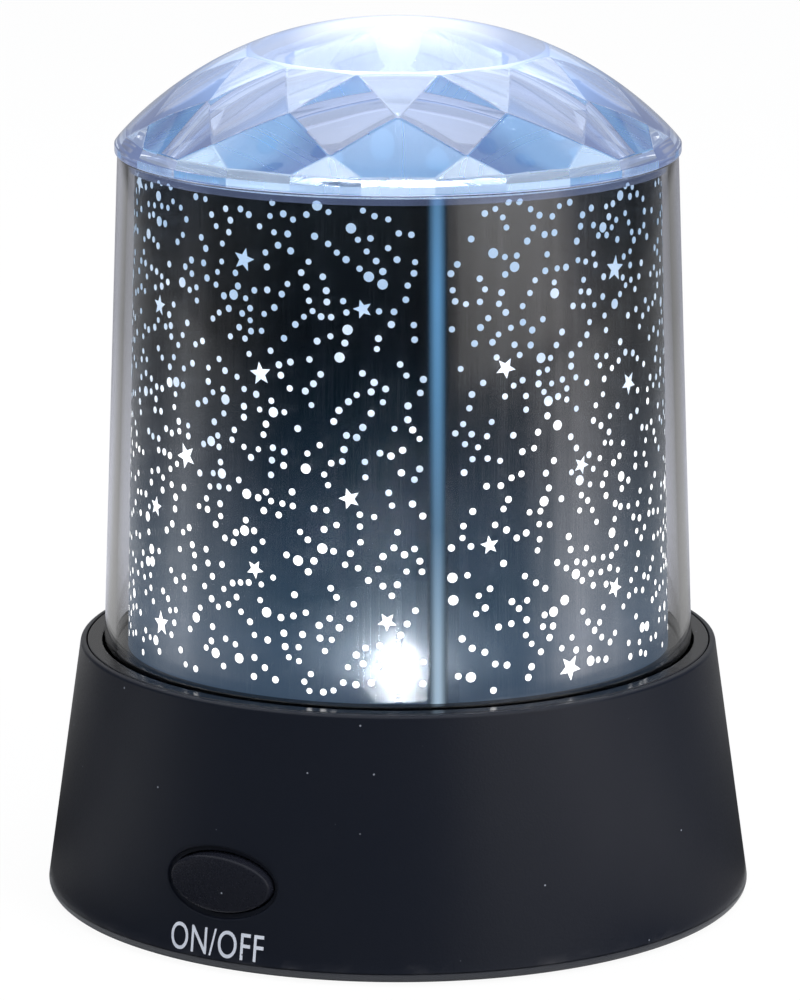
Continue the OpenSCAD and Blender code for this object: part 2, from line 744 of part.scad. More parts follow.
module star_film() {
  golden = 137.508;
  span = film_h - 2 * film_margin;
  seam_clear = asin((seam_w / 2 + star_r + 0.5) / film_top_r);
  color([0.16, 0.17, 0.2]) difference() {
    rotate_extrude($fn = 160) polygon([
      [film_bottom_r - film_t, deck_z],
      [film_bottom_r, deck_z],
      [film_top_r, deck_z + film_h],
      [film_top_r - film_t, deck_z + film_h]
    ]);
    turned(seam_turn) translate([-seam_w / 2, -film_bottom_r - 2, deck_z - cut])
      cube([seam_w, 6, film_h + 2 * cut]);
    // a golden-angle layout keeps the windows apart, and none lies on the seam
    for (i = [0:1:window_count - 1]) let (a = (i * golden) % 360)
      if (a > seam_clear && a < 360 - seam_clear)
        film_window(seam_turn + a, film_margin + span * (i + 0.5) / window_count)
          if (i % star_every == 0) rotate(i * 23)
            polygon(star_points(star_r * (0.68 + 0.32 * ((i * 7) % 9) / 8)));
          else circle(r = dot_r, $fn = 16);
  }
}

module film_tape() {
  tape_t = 0.1;
  clear = 0.02;
  r0 = film_bottom_r + clear;
  r1 = film_top_r + clear;
  color([0.7, 0.8, 1, 0.5]) intersection() {
    rotate_extrude($fn = 160) polygon([
      [r0, deck_z],
      [r0 + tape_t, deck_z],
      [r1 + tape_t, deck_z + film_h],
      [r1, deck_z + film_h]
    ]);
    turned(seam_turn) translate([-tape_w / 2, -film_bottom_r - 2, deck_z - cut])
      cube([tape_w, 8, film_h + 2 * cut]);
  }
}

// the space under the facets: a mouth with a short wall, then rows of flat facets
module facet_space() {
  n = facet_count;
  mouth_low = top_z - 0.3;
  // the mouth has two corners for each facet of the lowest row
  mouth = [for (i = [0:n - 1], s = [-0.25, 0.25]) (i + s) * facet_step];
  points = concat(
    [for (a = mouth) [dome_mouth_r * sin(a), -dome_mouth_r * cos(a), mouth_low]],
    [for (a = mouth) [dome_mouth_r * sin(a), -dome_mouth_r * cos(a), facet_z0]],
    ring_points(facet_r1, facet_z1, n, facet_step / 2),
    ring_points(facet_r2, facet_z2, n, 0),
    ring_points(facet_r3, facet_z3, n, facet_step / 2));
  m = 2 * n;
  row1 = 2 * m;
  row2 = row1 + n;
  row3 = row2 + n;
  walls = [for (i = [0:m - 1]) let (j = (i + 1) % m) [i, m + i, m + j, j]];
  kites = [for (i = [0:n - 1]) let (p = (i + n - 1) % n)
    [m + 2 * i, row1 + p, row2 + i, row1 + i, m + 2 * i + 1]];
  slips = [for (i = [0:n - 1]) [m + 2 * i + 1, row1 + i, m + (2 * i + 2) % m]];
  diamonds = [for (i = [0:n - 1]) let (j = (i + 1) % n) [row1 + i, row2 + i, row3 + i, row2 + j]];
  darts = [for (i = [0:n - 1]) let (p = (i + n - 1) % n) [row2 + i, row3 + p, row3 + i]];
  polyhedron(points, concat(
    [[for (i = [0:m - 1]) i]], walls, kites, slips, diamonds, darts,
    [[for (i = [n - 1:-1:0]) row3 + i]]), convexity = 4);
}

// the round vault over the facets, which ends under the middle of the crown
module vault_space() {
  steps = 12;
  r = facet_r3 * cos(facet_step / 2) - vault_ledge;
  rise = crown_z(0) - dome_wall - facet_z3;
  rotate_extrude($fn = 96) polygon(concat(
    [[0, facet_z3 - 1], [r, facet_z3 - 1]],
    [for (i = [steps:-1:0]) [r * i / steps, facet_z3 + rise * (1 - pow(i / steps, 2))]]));
}

module crystal_dome() {
  crown_steps = 22;
  outline = concat(
    [
      [0, top_z - rib_depth],
      [rib_r, top_z - rib_depth],
      [rib_r, top_z],
      [flange_r - 0.3, top_z],
      [flange_r, top_z + 0.3]
    ],
    [for (i = [0:crown_steps]) let (r = flange_r * sqrt(1 - i / crown_steps)) [r, crown_z(r)]]);
  color([0.75, 0.85, 1, 0.5]) difference() {
    rotate_extrude($fn = 160) polygon(outline);
    translate([0, 0, top_z - rib_depth - cut]) cylinder(r = rib_bore_r, h = rib_depth + cut, $fn = 160);
    facet_space();
    vault_space();
  }
}

base_shell();
top_deck();
base_plate();
battery_door();
door_screw();
case_screws();
rubber_feet();
battery_cell_left();
battery_cell_middle();
battery_cell_right();
contact_springs();
contact_plates();
button_cap();
switch_plunger();
switch_body();
switch_board();
switch_board_screws();
lamp_board();
lamp_board_screws();
lamp_collar();
led_lamp();
series_resistor();
wire_positive();
wire_switched();
wire_negative();
clear_drum();
star_film();
film_tape();
crystal_dome();
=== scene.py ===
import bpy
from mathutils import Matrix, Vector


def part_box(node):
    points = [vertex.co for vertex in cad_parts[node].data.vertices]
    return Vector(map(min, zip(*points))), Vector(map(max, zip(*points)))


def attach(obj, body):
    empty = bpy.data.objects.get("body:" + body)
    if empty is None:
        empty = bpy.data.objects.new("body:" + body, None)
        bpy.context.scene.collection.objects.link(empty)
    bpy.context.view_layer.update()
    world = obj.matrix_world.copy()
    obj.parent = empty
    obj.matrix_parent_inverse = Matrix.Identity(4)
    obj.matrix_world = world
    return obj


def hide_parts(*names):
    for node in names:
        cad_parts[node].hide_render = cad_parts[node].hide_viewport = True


bl_info = {
    "name": "Star night light",
    "version": (1, 0, 0),
    "blender": (4, 5, 0),
    "location": "3D View > Sidebar > Star Light",
    "description": "Dresses the packed star night light: housing, deck, button, drum, film, dome, studio",
    "category": "Object",
}

import math

import bmesh
import bpy
import numpy as np

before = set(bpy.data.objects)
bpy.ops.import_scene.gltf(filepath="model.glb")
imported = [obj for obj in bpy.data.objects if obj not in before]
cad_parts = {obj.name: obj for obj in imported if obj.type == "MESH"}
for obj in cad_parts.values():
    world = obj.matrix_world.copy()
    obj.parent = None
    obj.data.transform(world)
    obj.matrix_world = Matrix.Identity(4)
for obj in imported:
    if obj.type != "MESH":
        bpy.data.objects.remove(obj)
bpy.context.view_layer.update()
MM = 0.001
TURN = 2 * math.pi
# angles run from +X towards +Y: the front is -Y, and the film's seam lies 38 degrees to its right
FRONT = -math.pi / 2
SEAM = math.radians(38 - 90)
# turn from one window to the next along a spiral that doesn't repeat
GOLDEN = math.radians(137.508)


# ---------------------------------------------------------------- settings


def length(name, text, value):
    """Length property whose default is given in millimetres."""
    return bpy.props.FloatProperty(
        name=name, description=text, default=value * MM, subtype="DISTANCE", unit="LENGTH", precision=5
    )


def colour(name, text, value):
    """Colour property with that default."""
    return bpy.props.FloatVectorProperty(
        name=name, description=text, default=value, subtype="COLOR", size=3, min=0, max=1
    )


class StarLightSizes(bpy.types.PropertyGroup):
    """Sizes of the pieces that stand for plain solids."""

    rim_radius: length("Rim radius", "Radius of the housing at its lower rim", 52.5)
    shoulder_radius: length("Shoulder radius", "Radius of the housing at its upper edge", 47.1)
    housing_height: length("Housing height", "Height of the housing from rim to deck", 37.7)
    wall: length("Wall", "Thickness of the housing's wall", 2.2)
    rim_lift: length("Rim lift", "How far the rubber feet hold the rim up", 0.4)
    button_height: length("Button height", "Height of the button's centre above the rim", 12.4)
    button_width: length("Button width", "Width of the oval button", 16.4)
    button_tall: length("Button tall", "Height of the oval button", 8.2)
    print_height: length("Print height", "Height of the letters under the button", 3.9)
    deck_radius: length("Deck radius", "Outer radius of the deck's ring", 46.15)
    drum_low_radius: length("Drum radius, low", "Outer radius of the drum at the deck", 43.6)
    drum_top_radius: length("Drum radius, top", "Outer radius of the drum at its top", 40.9)
    drum_height: length("Drum height", "Height of the drum above the deck", 72.8)
    drum_wall: length("Drum wall", "Thickness of the drum's wall", 1.6)
    film_low_radius: length("Film radius, low", "Outer radius of the film at the deck", 40.1)
    film_top_radius: length("Film radius, top", "Outer radius of the film at its top", 38.33)
    film_height: length("Film height", "Height of the film above the deck", 72.0)
    film_thick: length("Film thickness", "Thickness of the film", 0.3)
    seam_width: length("Seam width", "Width of the gap between the film's edges", 1.6)
    dot_radius: length("Dot radius", "Radius of a dot window", 0.47)
    star_radius: length("Star radius", "Largest radius of a star window", 2.1)
    flange_radius: length("Flange radius", "Radius of the dome's flange", 41.3)
    flange_thick: length("Flange thickness", "Thickness of the dome's flange", 1.3)
    crown_height: length("Crown height", "Rise of the dome's crown above its flange", 17.7)
    dome_wall: length("Dome wall", "Thickness of the dome over a facet's corner", 1.7)


class StarLightFinish(bpy.types.PropertyGroup):
    """Colours and light levels."""

    housing_colour: colour("Housing", "Moulded plastic of the housing", (0.0072, 0.0095, 0.0175))
    deck_colour: colour("Deck", "Polished plastic of the deck", (0.007, 0.008, 0.012))
    print_colour: colour("Print", "Letters under the button", (0.52, 0.55, 0.62))
    film_colour: colour("Film", "Dark mirror of the film", (0.24, 0.24, 0.247))
    glow_low: colour("Glow, low", "Light in the windows beside the lamp", (1.0, 1.0, 1.0))
    glow_high: colour("Glow, high", "Light in the windows under the dome", (0.24, 0.33, 0.45))
    floor_colour: colour("Floor", "Studio floor", (0.80, 0.80, 0.80))
    lamp_power: bpy.props.FloatProperty(
        name="Lamp", description="Strength of the lamp's lens", default=400.0, min=0
    )


def sizes():
    """The scene's sizes, in metres."""
    return bpy.context.scene.star_light_sizes


def finish():
    """The scene's colours and light levels."""
    return bpy.context.scene.star_light_finish


def deck_height():
    """Height of the deck's top, which is the housing's top."""
    return sizes().rim_lift + sizes().housing_height


def drum_top():
    """Height of the drum's upper edge, on which the dome's flange rests."""
    return deck_height() + sizes().drum_height


# ---------------------------------------------------------------- shapes


def lathe(profile, steps, closed=True, start=0.0, sweep=TURN):
    """Point (r cos t, r sin t, z) for each profile point (r, z) and each angle t. The profile runs
    counter-clockwise, up on the outside, so the faces look outwards. A closed profile that isn't
    turned all the way round gets a face at either end."""
    rz = np.asarray(profile, float)
    whole = abs(sweep - TURN) < 1e-9
    count = steps if whole else steps + 1
    t = start + np.arange(count) * sweep / steps
    r, z = rz[:, :1], rz[:, 1:]
    v = np.stack([r * np.cos(t), r * np.sin(t), np.repeat(z, count, 1)], -1).reshape(-1, 3)
    i = np.arange(len(rz) * count).reshape(len(rz), count)
    rows, ups = (i, np.roll(i, -1, 0)) if closed else (i[:-1], i[1:])
    if whole:
        quads = np.stack([rows, np.roll(rows, -1, 1), np.roll(ups, -1, 1), ups], -1)
        return v, quads.reshape(-1, 4).tolist()
    quads = np.stack([rows[:, :-1], rows[:, 1:], ups[:, 1:], ups[:, :-1]], -1)
    ends = [i[::-1, 0].tolist(), i[:, -1].tolist()] if closed else []
    return v, quads.reshape(-1, 4).tolist() + ends


def rounded(corners, steps):
    """Closed outline through (r, z, radius) corners. Each corner is cut back by its radius times
    tan(half the turn) and bridged by that circle's arc. A guard point a little past each end of the
    arc keeps the shading of long walls straight."""
    p, radii = np.asarray(corners, float)[:, :2], [c[2] for c in corners]
    guard = 0.12
    out = []
    for k, radius in enumerate(radii):
        here, back, on = p[k], p[k - 1] - p[k], p[(k + 1) % len(p)] - p[k]
        if radius <= 0:
            out.append(here[None])
            continue
        back, on = back / np.linalg.norm(back), on / np.linalg.norm(on)
        half = math.acos(np.clip(back @ on, -1, 1)) / 2
        centre = here + (back + on) / np.linalg.norm(back + on) * radius / math.sin(half)
        first = here + back * radius / math.tan(half) - centre
        last = here + on * radius / math.tan(half) - centre
        share = np.linspace(0, 1, steps + 1)[:, None]
        swing = math.pi - 2 * half
        arc = centre + (np.sin((1 - share) * swing) * first + np.sin(share * swing) * last) / math.sin(swing)
        before, after = arc[:1] + back * radius * guard, arc[-1:] + on * radius * guard
        out.append(np.concatenate([before, arc, after]))
    return np.concatenate(out)


def pairs(r, z):
    """Outline points (r, z) from an array of radii and one of heights."""
    return np.stack([r, z], -1)


def weld(verts, faces, grid=2e-7):
    """Points that fall in the same tiny cube become one point."""
    keys = np.round(np.asarray(verts) / grid).astype(np.int64)
    _, first, back = np.unique(keys, axis=0, return_index=True, return_inverse=True)
    back = back.reshape(-1).tolist()
    return np.asarray(verts)[first], [[back[i] for i in f] for f in faces]


def join(*parts):
    """Several (points, faces) as one, each part's indices shifted past the points before it."""
    verts, faces, base = [], [], 0
    for v, f in parts:
        verts.append(np.asarray(v, float))
        faces += [[i + base for i in g] for g in f]
        base += len(v)
    return np.concatenate(verts), faces


def sleeve(rings):
    """Quads between neighbouring closed rings of points that all have the same count."""
    r = np.asarray(rings, float)
    i = np.arange(r.shape[0] * r.shape[1]).reshape(r.shape[:2])
    on = np.roll(i, -1, 1)
    quads = np.stack([i[:-1], on[:-1], on[1:], i[1:]], -1)
    return r.reshape(-1, 3), quads.reshape(-1, 4).tolist()


def piece(name, verts, faces, finishes, body="housing", node=None, slot=None, smooth=30,
          turn_out=False, pick=None, flat=None):
    """One mesh at the origin that rides on its body. Edges sharper than smooth degrees stay sharp,
    pick holds the number of each face's finish, and flat is true for faces without smooth shading."""
    mesh = bpy.data.meshes.new(name)
    mesh.from_pydata(np.asarray(verts, float).tolist(), [], faces)
    mesh.validate()
    if turn_out:
        b = bmesh.new()
        b.from_mesh(mesh)
        bmesh.ops.recalc_face_normals(b, faces=b.faces)
        b.to_mesh(mesh)
        b.free()
    mesh.shade_smooth()
    if smooth:
        mesh.set_sharp_from_angle(angle=math.radians(smooth))
    if flat is not None:
        mesh.polygons.foreach_set("use_smooth", ~np.asarray(flat, bool))
    for f in finishes:
        mesh.materials.append(f)
    if pick is not None:
        mesh.polygons.foreach_set("material_index", np.asarray(pick, np.int32))
    mesh.update()
    thing = bpy.data.objects.new(name, mesh)
    bpy.context.scene.collection.objects.link(thing)
    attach(thing, body)
    if node:
        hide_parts(node)
    return thing


# ---------------------------------------------------------------- shader nodes


def feed(tree, node, sources):
    """Each input that sources names takes another node's output or a plain value. The three numbers
    of a colour get full alpha."""
    for key, value in sources.items():
        socket = node.inputs[key]
        if isinstance(value, bpy.types.NodeSocket):
            tree.links.new(value, socket)
        elif socket.type == "RGBA":
            socket.default_value = (*value, 1)
        else:
            socket.default_value = value


def add(tree, kind, sources=None, **settings):
    """A node of that kind, with its settings made and its inputs fed."""
    n = tree.nodes.new(kind)
    for key, value in settings.items():
        setattr(n, key, value)
    feed(tree, n, sources or {})
    return n


def object_point(tree):
    """Object coordinates, from the tree's one Texture Coordinate node."""
    n = tree.nodes.get("Texture Coordinate") or tree.nodes.new("ShaderNodeTexCoord")
    return n.outputs["Object"]


def axes(tree):
    """The three object coordinates, each by itself."""
    return add(tree, "ShaderNodeSeparateXYZ", {0: object_point(tree)}).outputs


def calc(tree, operation, *terms):
    """That operation on numbers or on other nodes' outputs."""
    return add(tree, "ShaderNodeMath", dict(enumerate(terms)), operation=operation).outputs[0]


def measure(tree, operation, *vectors):
    """One number from vectors: a length, a distance or a dot product."""
    n = add(tree, "ShaderNodeVectorMath", dict(enumerate(vectors)), operation=operation)
    return n.outputs["Value"]


def scaled(tree, vector, factor):
    """The vector or colour times one number."""
    return add(tree, "ShaderNodeVectorMath", {0: vector, 3: factor}, operation="SCALE").outputs[0]


def remap(tree, value, low, high, to_low=0.0, to_high=1.0):
    """Values from low to high become values from to_low to to_high, which also hold past the ends."""
    spans = {0: value, 1: low, 2: high, 3: to_low, 4: to_high}
    return add(tree, "ShaderNodeMapRange", spans).outputs[0]


def by_height(tree, low, high):
    """0 at the height low and 1 at the height high."""
    return remap(tree, axes(tree)[2], low, high)


def noise(tree, at, scale, detail=2.0, roughness=0.5):
    """Noise from 0 to 1 with scale cells to the metre."""
    values = {"Vector": at, "Scale": scale, "Detail": detail, "Roughness": roughness}
    return add(tree, "ShaderNodeTexNoise", values).outputs[0]


def blend(tree, share, first, second):
    """The first colour where share is 0 and the second where it is 1."""
    return add(tree, "ShaderNodeMix", {0: share, 6: first, 7: second}, data_type="RGBA").outputs[2]


def ramp(tree, source, stops):
    """Colours at places from 0 to 1, a single number being a grey."""
    n = add(tree, "ShaderNodeValToRGB", {0: source})
    while len(n.color_ramp.elements) < len(stops):
        n.color_ramp.elements.new(0.5)
    for e, (at, c) in zip(n.color_ramp.elements, stops):
        e.position = at
        e.color = (*c, 1) if isinstance(c, tuple) else (c, c, c, 1)
    return n.outputs[0]


def rare_cells(tree, scale, edge, core, share):
    """Spots in the middle of that share of a Voronoi pattern's cells, fading from core out to edge."""
    cells = add(tree, "ShaderNodeTexVoronoi", {"Vector": object_point(tree), "Scale": scale})
    near = remap(tree, cells.outputs["Distance"], edge, core)
    draw = add(tree, "ShaderNodeSeparateColor", {0: cells.outputs["Color"]}).outputs[0]
    return calc(tree, "MULTIPLY", near, calc(tree, "LESS_THAN", draw, share))


def tinted(tint, level):
    """The colour made lighter or darker by the level."""
    return tuple(c * level for c in tint)


# ---------------------------------------------------------------- shared shader groups


def group(name, inputs, outputs):
    """Shader group with named sockets; three numbers or the name Colour make a colour's socket."""
    g = bpy.data.node_groups.new(name, "ShaderNodeTree")
    for label, value in inputs.items():
        kind = "NodeSocketColor" if isinstance(value, tuple) else "NodeSocketFloat"
        s = g.interface.new_socket(name=label, in_out="INPUT", socket_type=kind)
        s.default_value = (*value, 1) if isinstance(value, tuple) else value
    for label in outputs:
        kind = "NodeSocketColor" if label == "Colour" else "NodeSocketFloat"
        g.interface.new_socket(name=label, in_out="OUTPUT", socket_type=kind)
    return g, g.nodes.new("NodeGroupInput").outputs, g.nodes.new("NodeGroupOutput")


def moulded_grain(name):
    """Fine pebble of a moulded or rolled surface: a fine noise is the height, and that noise plus a
    broad one spreads the roughness."""
    g, given, out = group(
        name, {"Size": 0.4 * MM, "Roughness": 0.4, "Spread": 0.1}, ["Height", "Roughness"]
    )
    at = object_point(g)
    fine = noise(g, at, calc(g, "DIVIDE", 1.0, given["Size"]))
    broad = noise(g, at, 60.0, 5.0)
    centred = calc(g, "SUBTRACT", calc(g, "ADD", fine, broad), 1.0)
    roughness = calc(g, "MULTIPLY_ADD", centred, given["Spread"], given["Roughness"])
    feed(g, out, {"Height": fine, "Roughness": roughness})
    return g


def rubbed_edges(name):
    """Paler plastic where handling rubs the sharp edges: pointiness times a patchy noise."""
    g, given, out = group(
        name, {"Colour": (0, 0, 0), "Rubbed": (0.1, 0.1, 0.1), "Amount": 1.0}, ["Colour"]
    )
    edge = remap(g, add(g, "ShaderNodeNewGeometry").outputs["Pointiness"], 0.515, 0.60)
    patchy = remap(g, noise(g, object_point(g), 140.0, 4.0), 0.38, 0.62)
    mask = calc(g, "MULTIPLY", calc(g, "MULTIPLY", edge, patchy), given["Amount"])
    feed(g, out, {"Colour": blend(g, mask, given["Colour"], given["Rubbed"])})
    return g


def settled_dust(name):
    """Sparse pale specks in that share of a fine pattern's cells."""
    g, given, out = group(
        name, {"Colour": (0, 0, 0), "Dust": (0.3, 0.32, 0.36), "Share": 0.06}, ["Colour"]
    )
    mask = rare_cells(g, 900.0, 0.16, 0.08, given["Share"])
    feed(g, out, {"Colour": blend(g, mask, given["Colour"], given["Dust"])})
    return g


def upright_lines(name):
    """Lines that run up a round wall: noise over (angle times Across, height times Along)."""
    g, given, out = group(name, {"Across": 60.0, "Along": 20.0, "Detail": 3.0}, ["Value"])
    x, y, z = axes(g)
    across = calc(g, "MULTIPLY", calc(g, "ARCTAN2", y, x), given["Across"])
    along = calc(g, "MULTIPLY", z, given["Along"])
    place = add(g, "ShaderNodeCombineXYZ", {0: across, 1: along}).outputs[0]
    feed(g, out, {"Value": noise(g, place, 1.0, given["Detail"])})
    return g


def place_group(tree, maker, sources):
    """Outputs of a shared group, which is named like its maker and built when it is first placed."""
    name = maker.__name__.replace("_", " ").capitalize()
    shared = bpy.data.node_groups.get(name) or maker(name)
    return add(tree, "ShaderNodeGroup", sources, node_tree=shared).outputs


# ---------------------------------------------------------------- finishes


def material(name, **sockets):
    """A material with those values on its shader, then its node tree and the shader itself."""
    m = bpy.data.materials.new(name)
    m.use_nodes = True
    shader = m.node_tree.nodes["Principled BSDF"]
    feed(m.node_tree, shader, {key.replace("_", " "): value for key, value in sockets.items()})
    return m, m.node_tree, shader


def bump(tree, height, distance):
    """Normal of a surface whose height from 0 to 1 stands for that distance."""
    return add(tree, "ShaderNodeBump", {"Height": height, "Distance": distance}).outputs[0]


def moulded(name, base, rubbed, roughness=0.4, grain=0.4 * MM, depth=0.02 * MM, spread=0.12, wear=0.6,
            dust=0.05, dust_colour=(0.22, 0.24, 0.28), **more):
    """Moulded plastic: grain, rubbed edges and a little dust."""
    m, t, s = material(name, **more)
    g = place_group(t, moulded_grain, {"Size": grain, "Roughness": roughness, "Spread": spread})
    worn = place_group(t, rubbed_edges, {"Colour": base, "Rubbed": rubbed, "Amount": wear})["Colour"]
    dusty = place_group(t, settled_dust, {"Colour": worn, "Dust": dust_colour, "Share": dust})["Colour"]
    feed(t, s, {"Base Color": dusty, "Roughness": g["Roughness"], "Normal": bump(t, g["Height"], depth)})
    return m


def metal(name, base, dark, roughness, lines=400.0):
    """Drawn or plated metal: noise stretched along Z tints the colour and the roughness."""
    m, t, s = material(name, Metallic=1.0)
    stretch = {"Vector": object_point(t), "Scale": (lines, lines, lines * 0.12)}
    drawn = noise(t, add(t, "ShaderNodeMapping", stretch).outputs[0], 5.0, 3.0)
    feed(t, s, {
        "Base Color": blend(t, drawn, dark, base),
        "Roughness": remap(t, drawn, 0.0, 1.0, roughness - 0.1, roughness + 0.12),
        "Normal": bump(t, drawn, 0.01 * MM),
    })
    return m


def circuit_board(name, mask_colour, pad_colour):
    """Solder mask over a faint brick pattern of copper, with scattered bright pads."""
    m, t, s = material(name, Coat_Weight=0.4, Coat_Roughness=0.15)
    shades = {"Color1": 1.0, "Color2": 0.75, "Mortar": 1.6}
    bricks = {"Vector": object_point(t), "Scale": 180.0}
    bricks |= {key: tinted(mask_colour, level) for key, level in shades.items()}
    traces = add(t, "ShaderNodeTexBrick", bricks, offset=0.5).outputs[0]
    pads = rare_cells(t, 220.0, 0.20, 0.16, 0.18)
    g = place_group(t, moulded_grain, {"Size": 0.3 * MM, "Roughness": 0.35, "Spread": 0.15})
    feed(t, s, {
        "Base Color": blend(t, pads, traces, pad_colour),
        "Roughness": g["Roughness"],
        "Normal": bump(t, traces, 0.03 * MM),
    })
    return m


def banded(name, stops, roughness=0.4):
    """Printed bands across X, the stops running from -40 to 40 mm, under a little dust."""
    m, t, s = material(name)
    bands = ramp(t, remap(t, axes(t)[0], -40 * MM, 40 * MM), stops)
    bands.node.color_ramp.interpolation = "CONSTANT"
    dusty = place_group(t, settled_dust, {"Colour": bands, "Dust": (0.5, 0.5, 0.5), "Share": 0.04})
    g = place_group(t, moulded_grain, {"Size": 0.5 * MM, "Roughness": roughness, "Spread": 0.12})
    feed(t, s, {
        "Base Color": dusty["Colour"],
        "Roughness": g["Roughness"],
        "Normal": bump(t, g["Height"], 0.01 * MM),
    })
    return m


def clear_plastic(name, tint, haze, ripple):
    """Polished clear plastic: faint handling marks raise its roughness up to haze, and its faces have
    long, shallow waves."""
    m, t, s = material(name, Base_Color=tint, Transmission_Weight=1.0, IOR=1.49)
    marks = noise(t, object_point(t), 90.0, 8.0, 0.7)
    waves = noise(t, object_point(t), 45.0, 1.0)
    feed(t, s, {"Roughness": remap(t, marks, 0.45, 0.75, 0.0, haze), "Normal": bump(t, waves, ripple)})
    return m, t, s, marks


def dome_plastic(name, glow):
    """Clear plastic that the lamp's beam lights up: a little everywhere, most in the crown's middle."""
    m, t, s, marks = clear_plastic(name, (0.86, 0.895, 0.97), 0.012, 0.16 * MM)
    drift = ramp(t, marks, [(0.35, tinted(glow, 0.7)), (0.65, glow)])
    reach = measure(t, "DISTANCE", object_point(t), (0, 0, crown_z(0.0)))
    spot = ramp(t, remap(t, reach, 3 * MM, 38 * MM), [
        (0.0, (0.36, 0.38, 0.41)), (0.20, (0.23, 0.25, 0.29)), (0.40, (0.07, 0.09, 0.13)),
        (0.75, (0.02, 0.035, 0.06)), (1.0, (0.0, 0.0, 0.0)),
    ])
    both = add(t, "ShaderNodeVectorMath", {0: drift, 1: spot}, operation="ADD").outputs[0]
    feed(t, s, {"Emission Color": both, "Emission Strength": 1.0})
    return m


def film_mirror():
    """Half-silvered film: dark metal with upright draw lines, and broad darker and lighter streaks that are a
    painted reflection of dark and light bands round it.
    """
    m, t, s = material("film_mirror", Metallic=0.965, Transmission_Weight=1.0, IOR=1.35)
    fine = place_group(t, upright_lines, {"Across": 900.0, "Along": 90.0, "Detail": 3.0})[0]
    broad = place_group(t, upright_lines, {"Across": 7.0, "Along": 4.0, "Detail": 2.0})[0]
    base = tuple(finish().film_colour)
    # painted reflection: the broad streaks make upright bands of the mirror darker and lighter
    tone = ramp(t, broad, [(0.30, tinted(base, 0.45)), (0.52, base), (0.75, tinted(base, 1.5))])
    # the lamp's light that seeps through the coating, strongest a little above the deck
    seep = ramp(t, by_height(t, 38 * MM, 98 * MM), [
        (0.0, (0.045, 0.075, 0.12)), (0.13, (0.05, 0.085, 0.135)), (0.25, (0.028, 0.055, 0.09)),
        (0.39, (0.013, 0.030, 0.054)), (0.55, (0.004, 0.012, 0.024)), (0.72, (0.001, 0.004, 0.008)),
        (0.87, (0.0, 0.0, 0.0)),
    ])
    feed(t, s, {
        "Base Color": scaled(t, tone, remap(t, fine, 0.3, 0.7, 0.72, 1.30)),
        "Roughness": remap(t, fine, 0.3, 0.7, 0.13, 0.26),
        "Normal": bump(t, fine, 0.01 * MM),
        "Emission Color": seep,
        "Emission Strength": 1.0,
    })
    return m


def inside_light(tree):
    """Light on the film's inner face from deck to top, brightest where the dome's facets gather it."""
    return ramp(tree, by_height(tree, 38 * MM, 111 * MM), [
        (0.0, (0.10, 0.16, 0.24)), (0.45, (0.05, 0.09, 0.14)), (0.60, (0.12, 0.17, 0.24)),
        (0.70, (0.33, 0.41, 0.48)), (0.77, (0.43, 0.52, 0.60)), (0.85, (0.37, 0.52, 0.68)),
        (0.88, (0.24, 0.40, 0.60)), (0.895, (0.12, 0.29, 0.50)), (0.912, (0.10, 0.27, 0.48)),
        (0.925, (0.01, 0.11, 0.28)), (0.95, (0.0, 0.05, 0.20)), (0.97, (0.07, 0.20, 0.39)),
        (1.0, (0.09, 0.22, 0.42)),
    ])


def film_inside():
    """The film's inner face, lit by the lamp."""
    m, t, s = material("film_inside", Base_Color=(0.9, 0.94, 1.0), Transmission_Weight=1.0, IOR=1.35)
    # from behind, through the mirror, this face only blurs what lies past it
    front = calc(t, "SUBTRACT", 1.0, add(t, "ShaderNodeNewGeometry").outputs["Backfacing"])
    lines = place_group(t, upright_lines, {"Across": 60.0, "Along": 10.0, "Detail": 3.0})[0]
    feed(t, s, {
        "Emission Color": scaled(t, inside_light(t), front),
        "Emission Strength": 1.0,
        "Roughness": remap(t, lines, 0.0, 1.0, 0.24, 0.32),
    })
    return m


def window_light(name, strength):
    """Light in a window of the film: its colour follows the height, moved up or down by a noise."""
    m, t, s = material(name, Base_Color=(0.02, 0.02, 0.02), Roughness=0.4)
    low, high = tuple(finish().glow_low), tuple(finish().glow_high)
    between = tuple(0.25 * a + 0.75 * b for a, b in zip(low, high))
    moved = calc(t, "ADD", noise(t, object_point(t), 120.0), by_height(t, 40 * MM, 105 * MM))
    light = ramp(t, calc(t, "SUBTRACT", moved, 0.5), [(0.0, low), (0.35, low), (0.62, between), (1.0, high)])
    feed(t, s, {"Emission Color": light, "Emission Strength": strength})
    return m


def window_back():
    """Inner cap of a window, which is lit like the film round it."""
    m, t, s = material("window_back", Base_Color=(0.03, 0.03, 0.03), Roughness=0.4)
    feed(t, s, {"Emission Color": inside_light(t), "Emission Strength": 0.35})
    return m


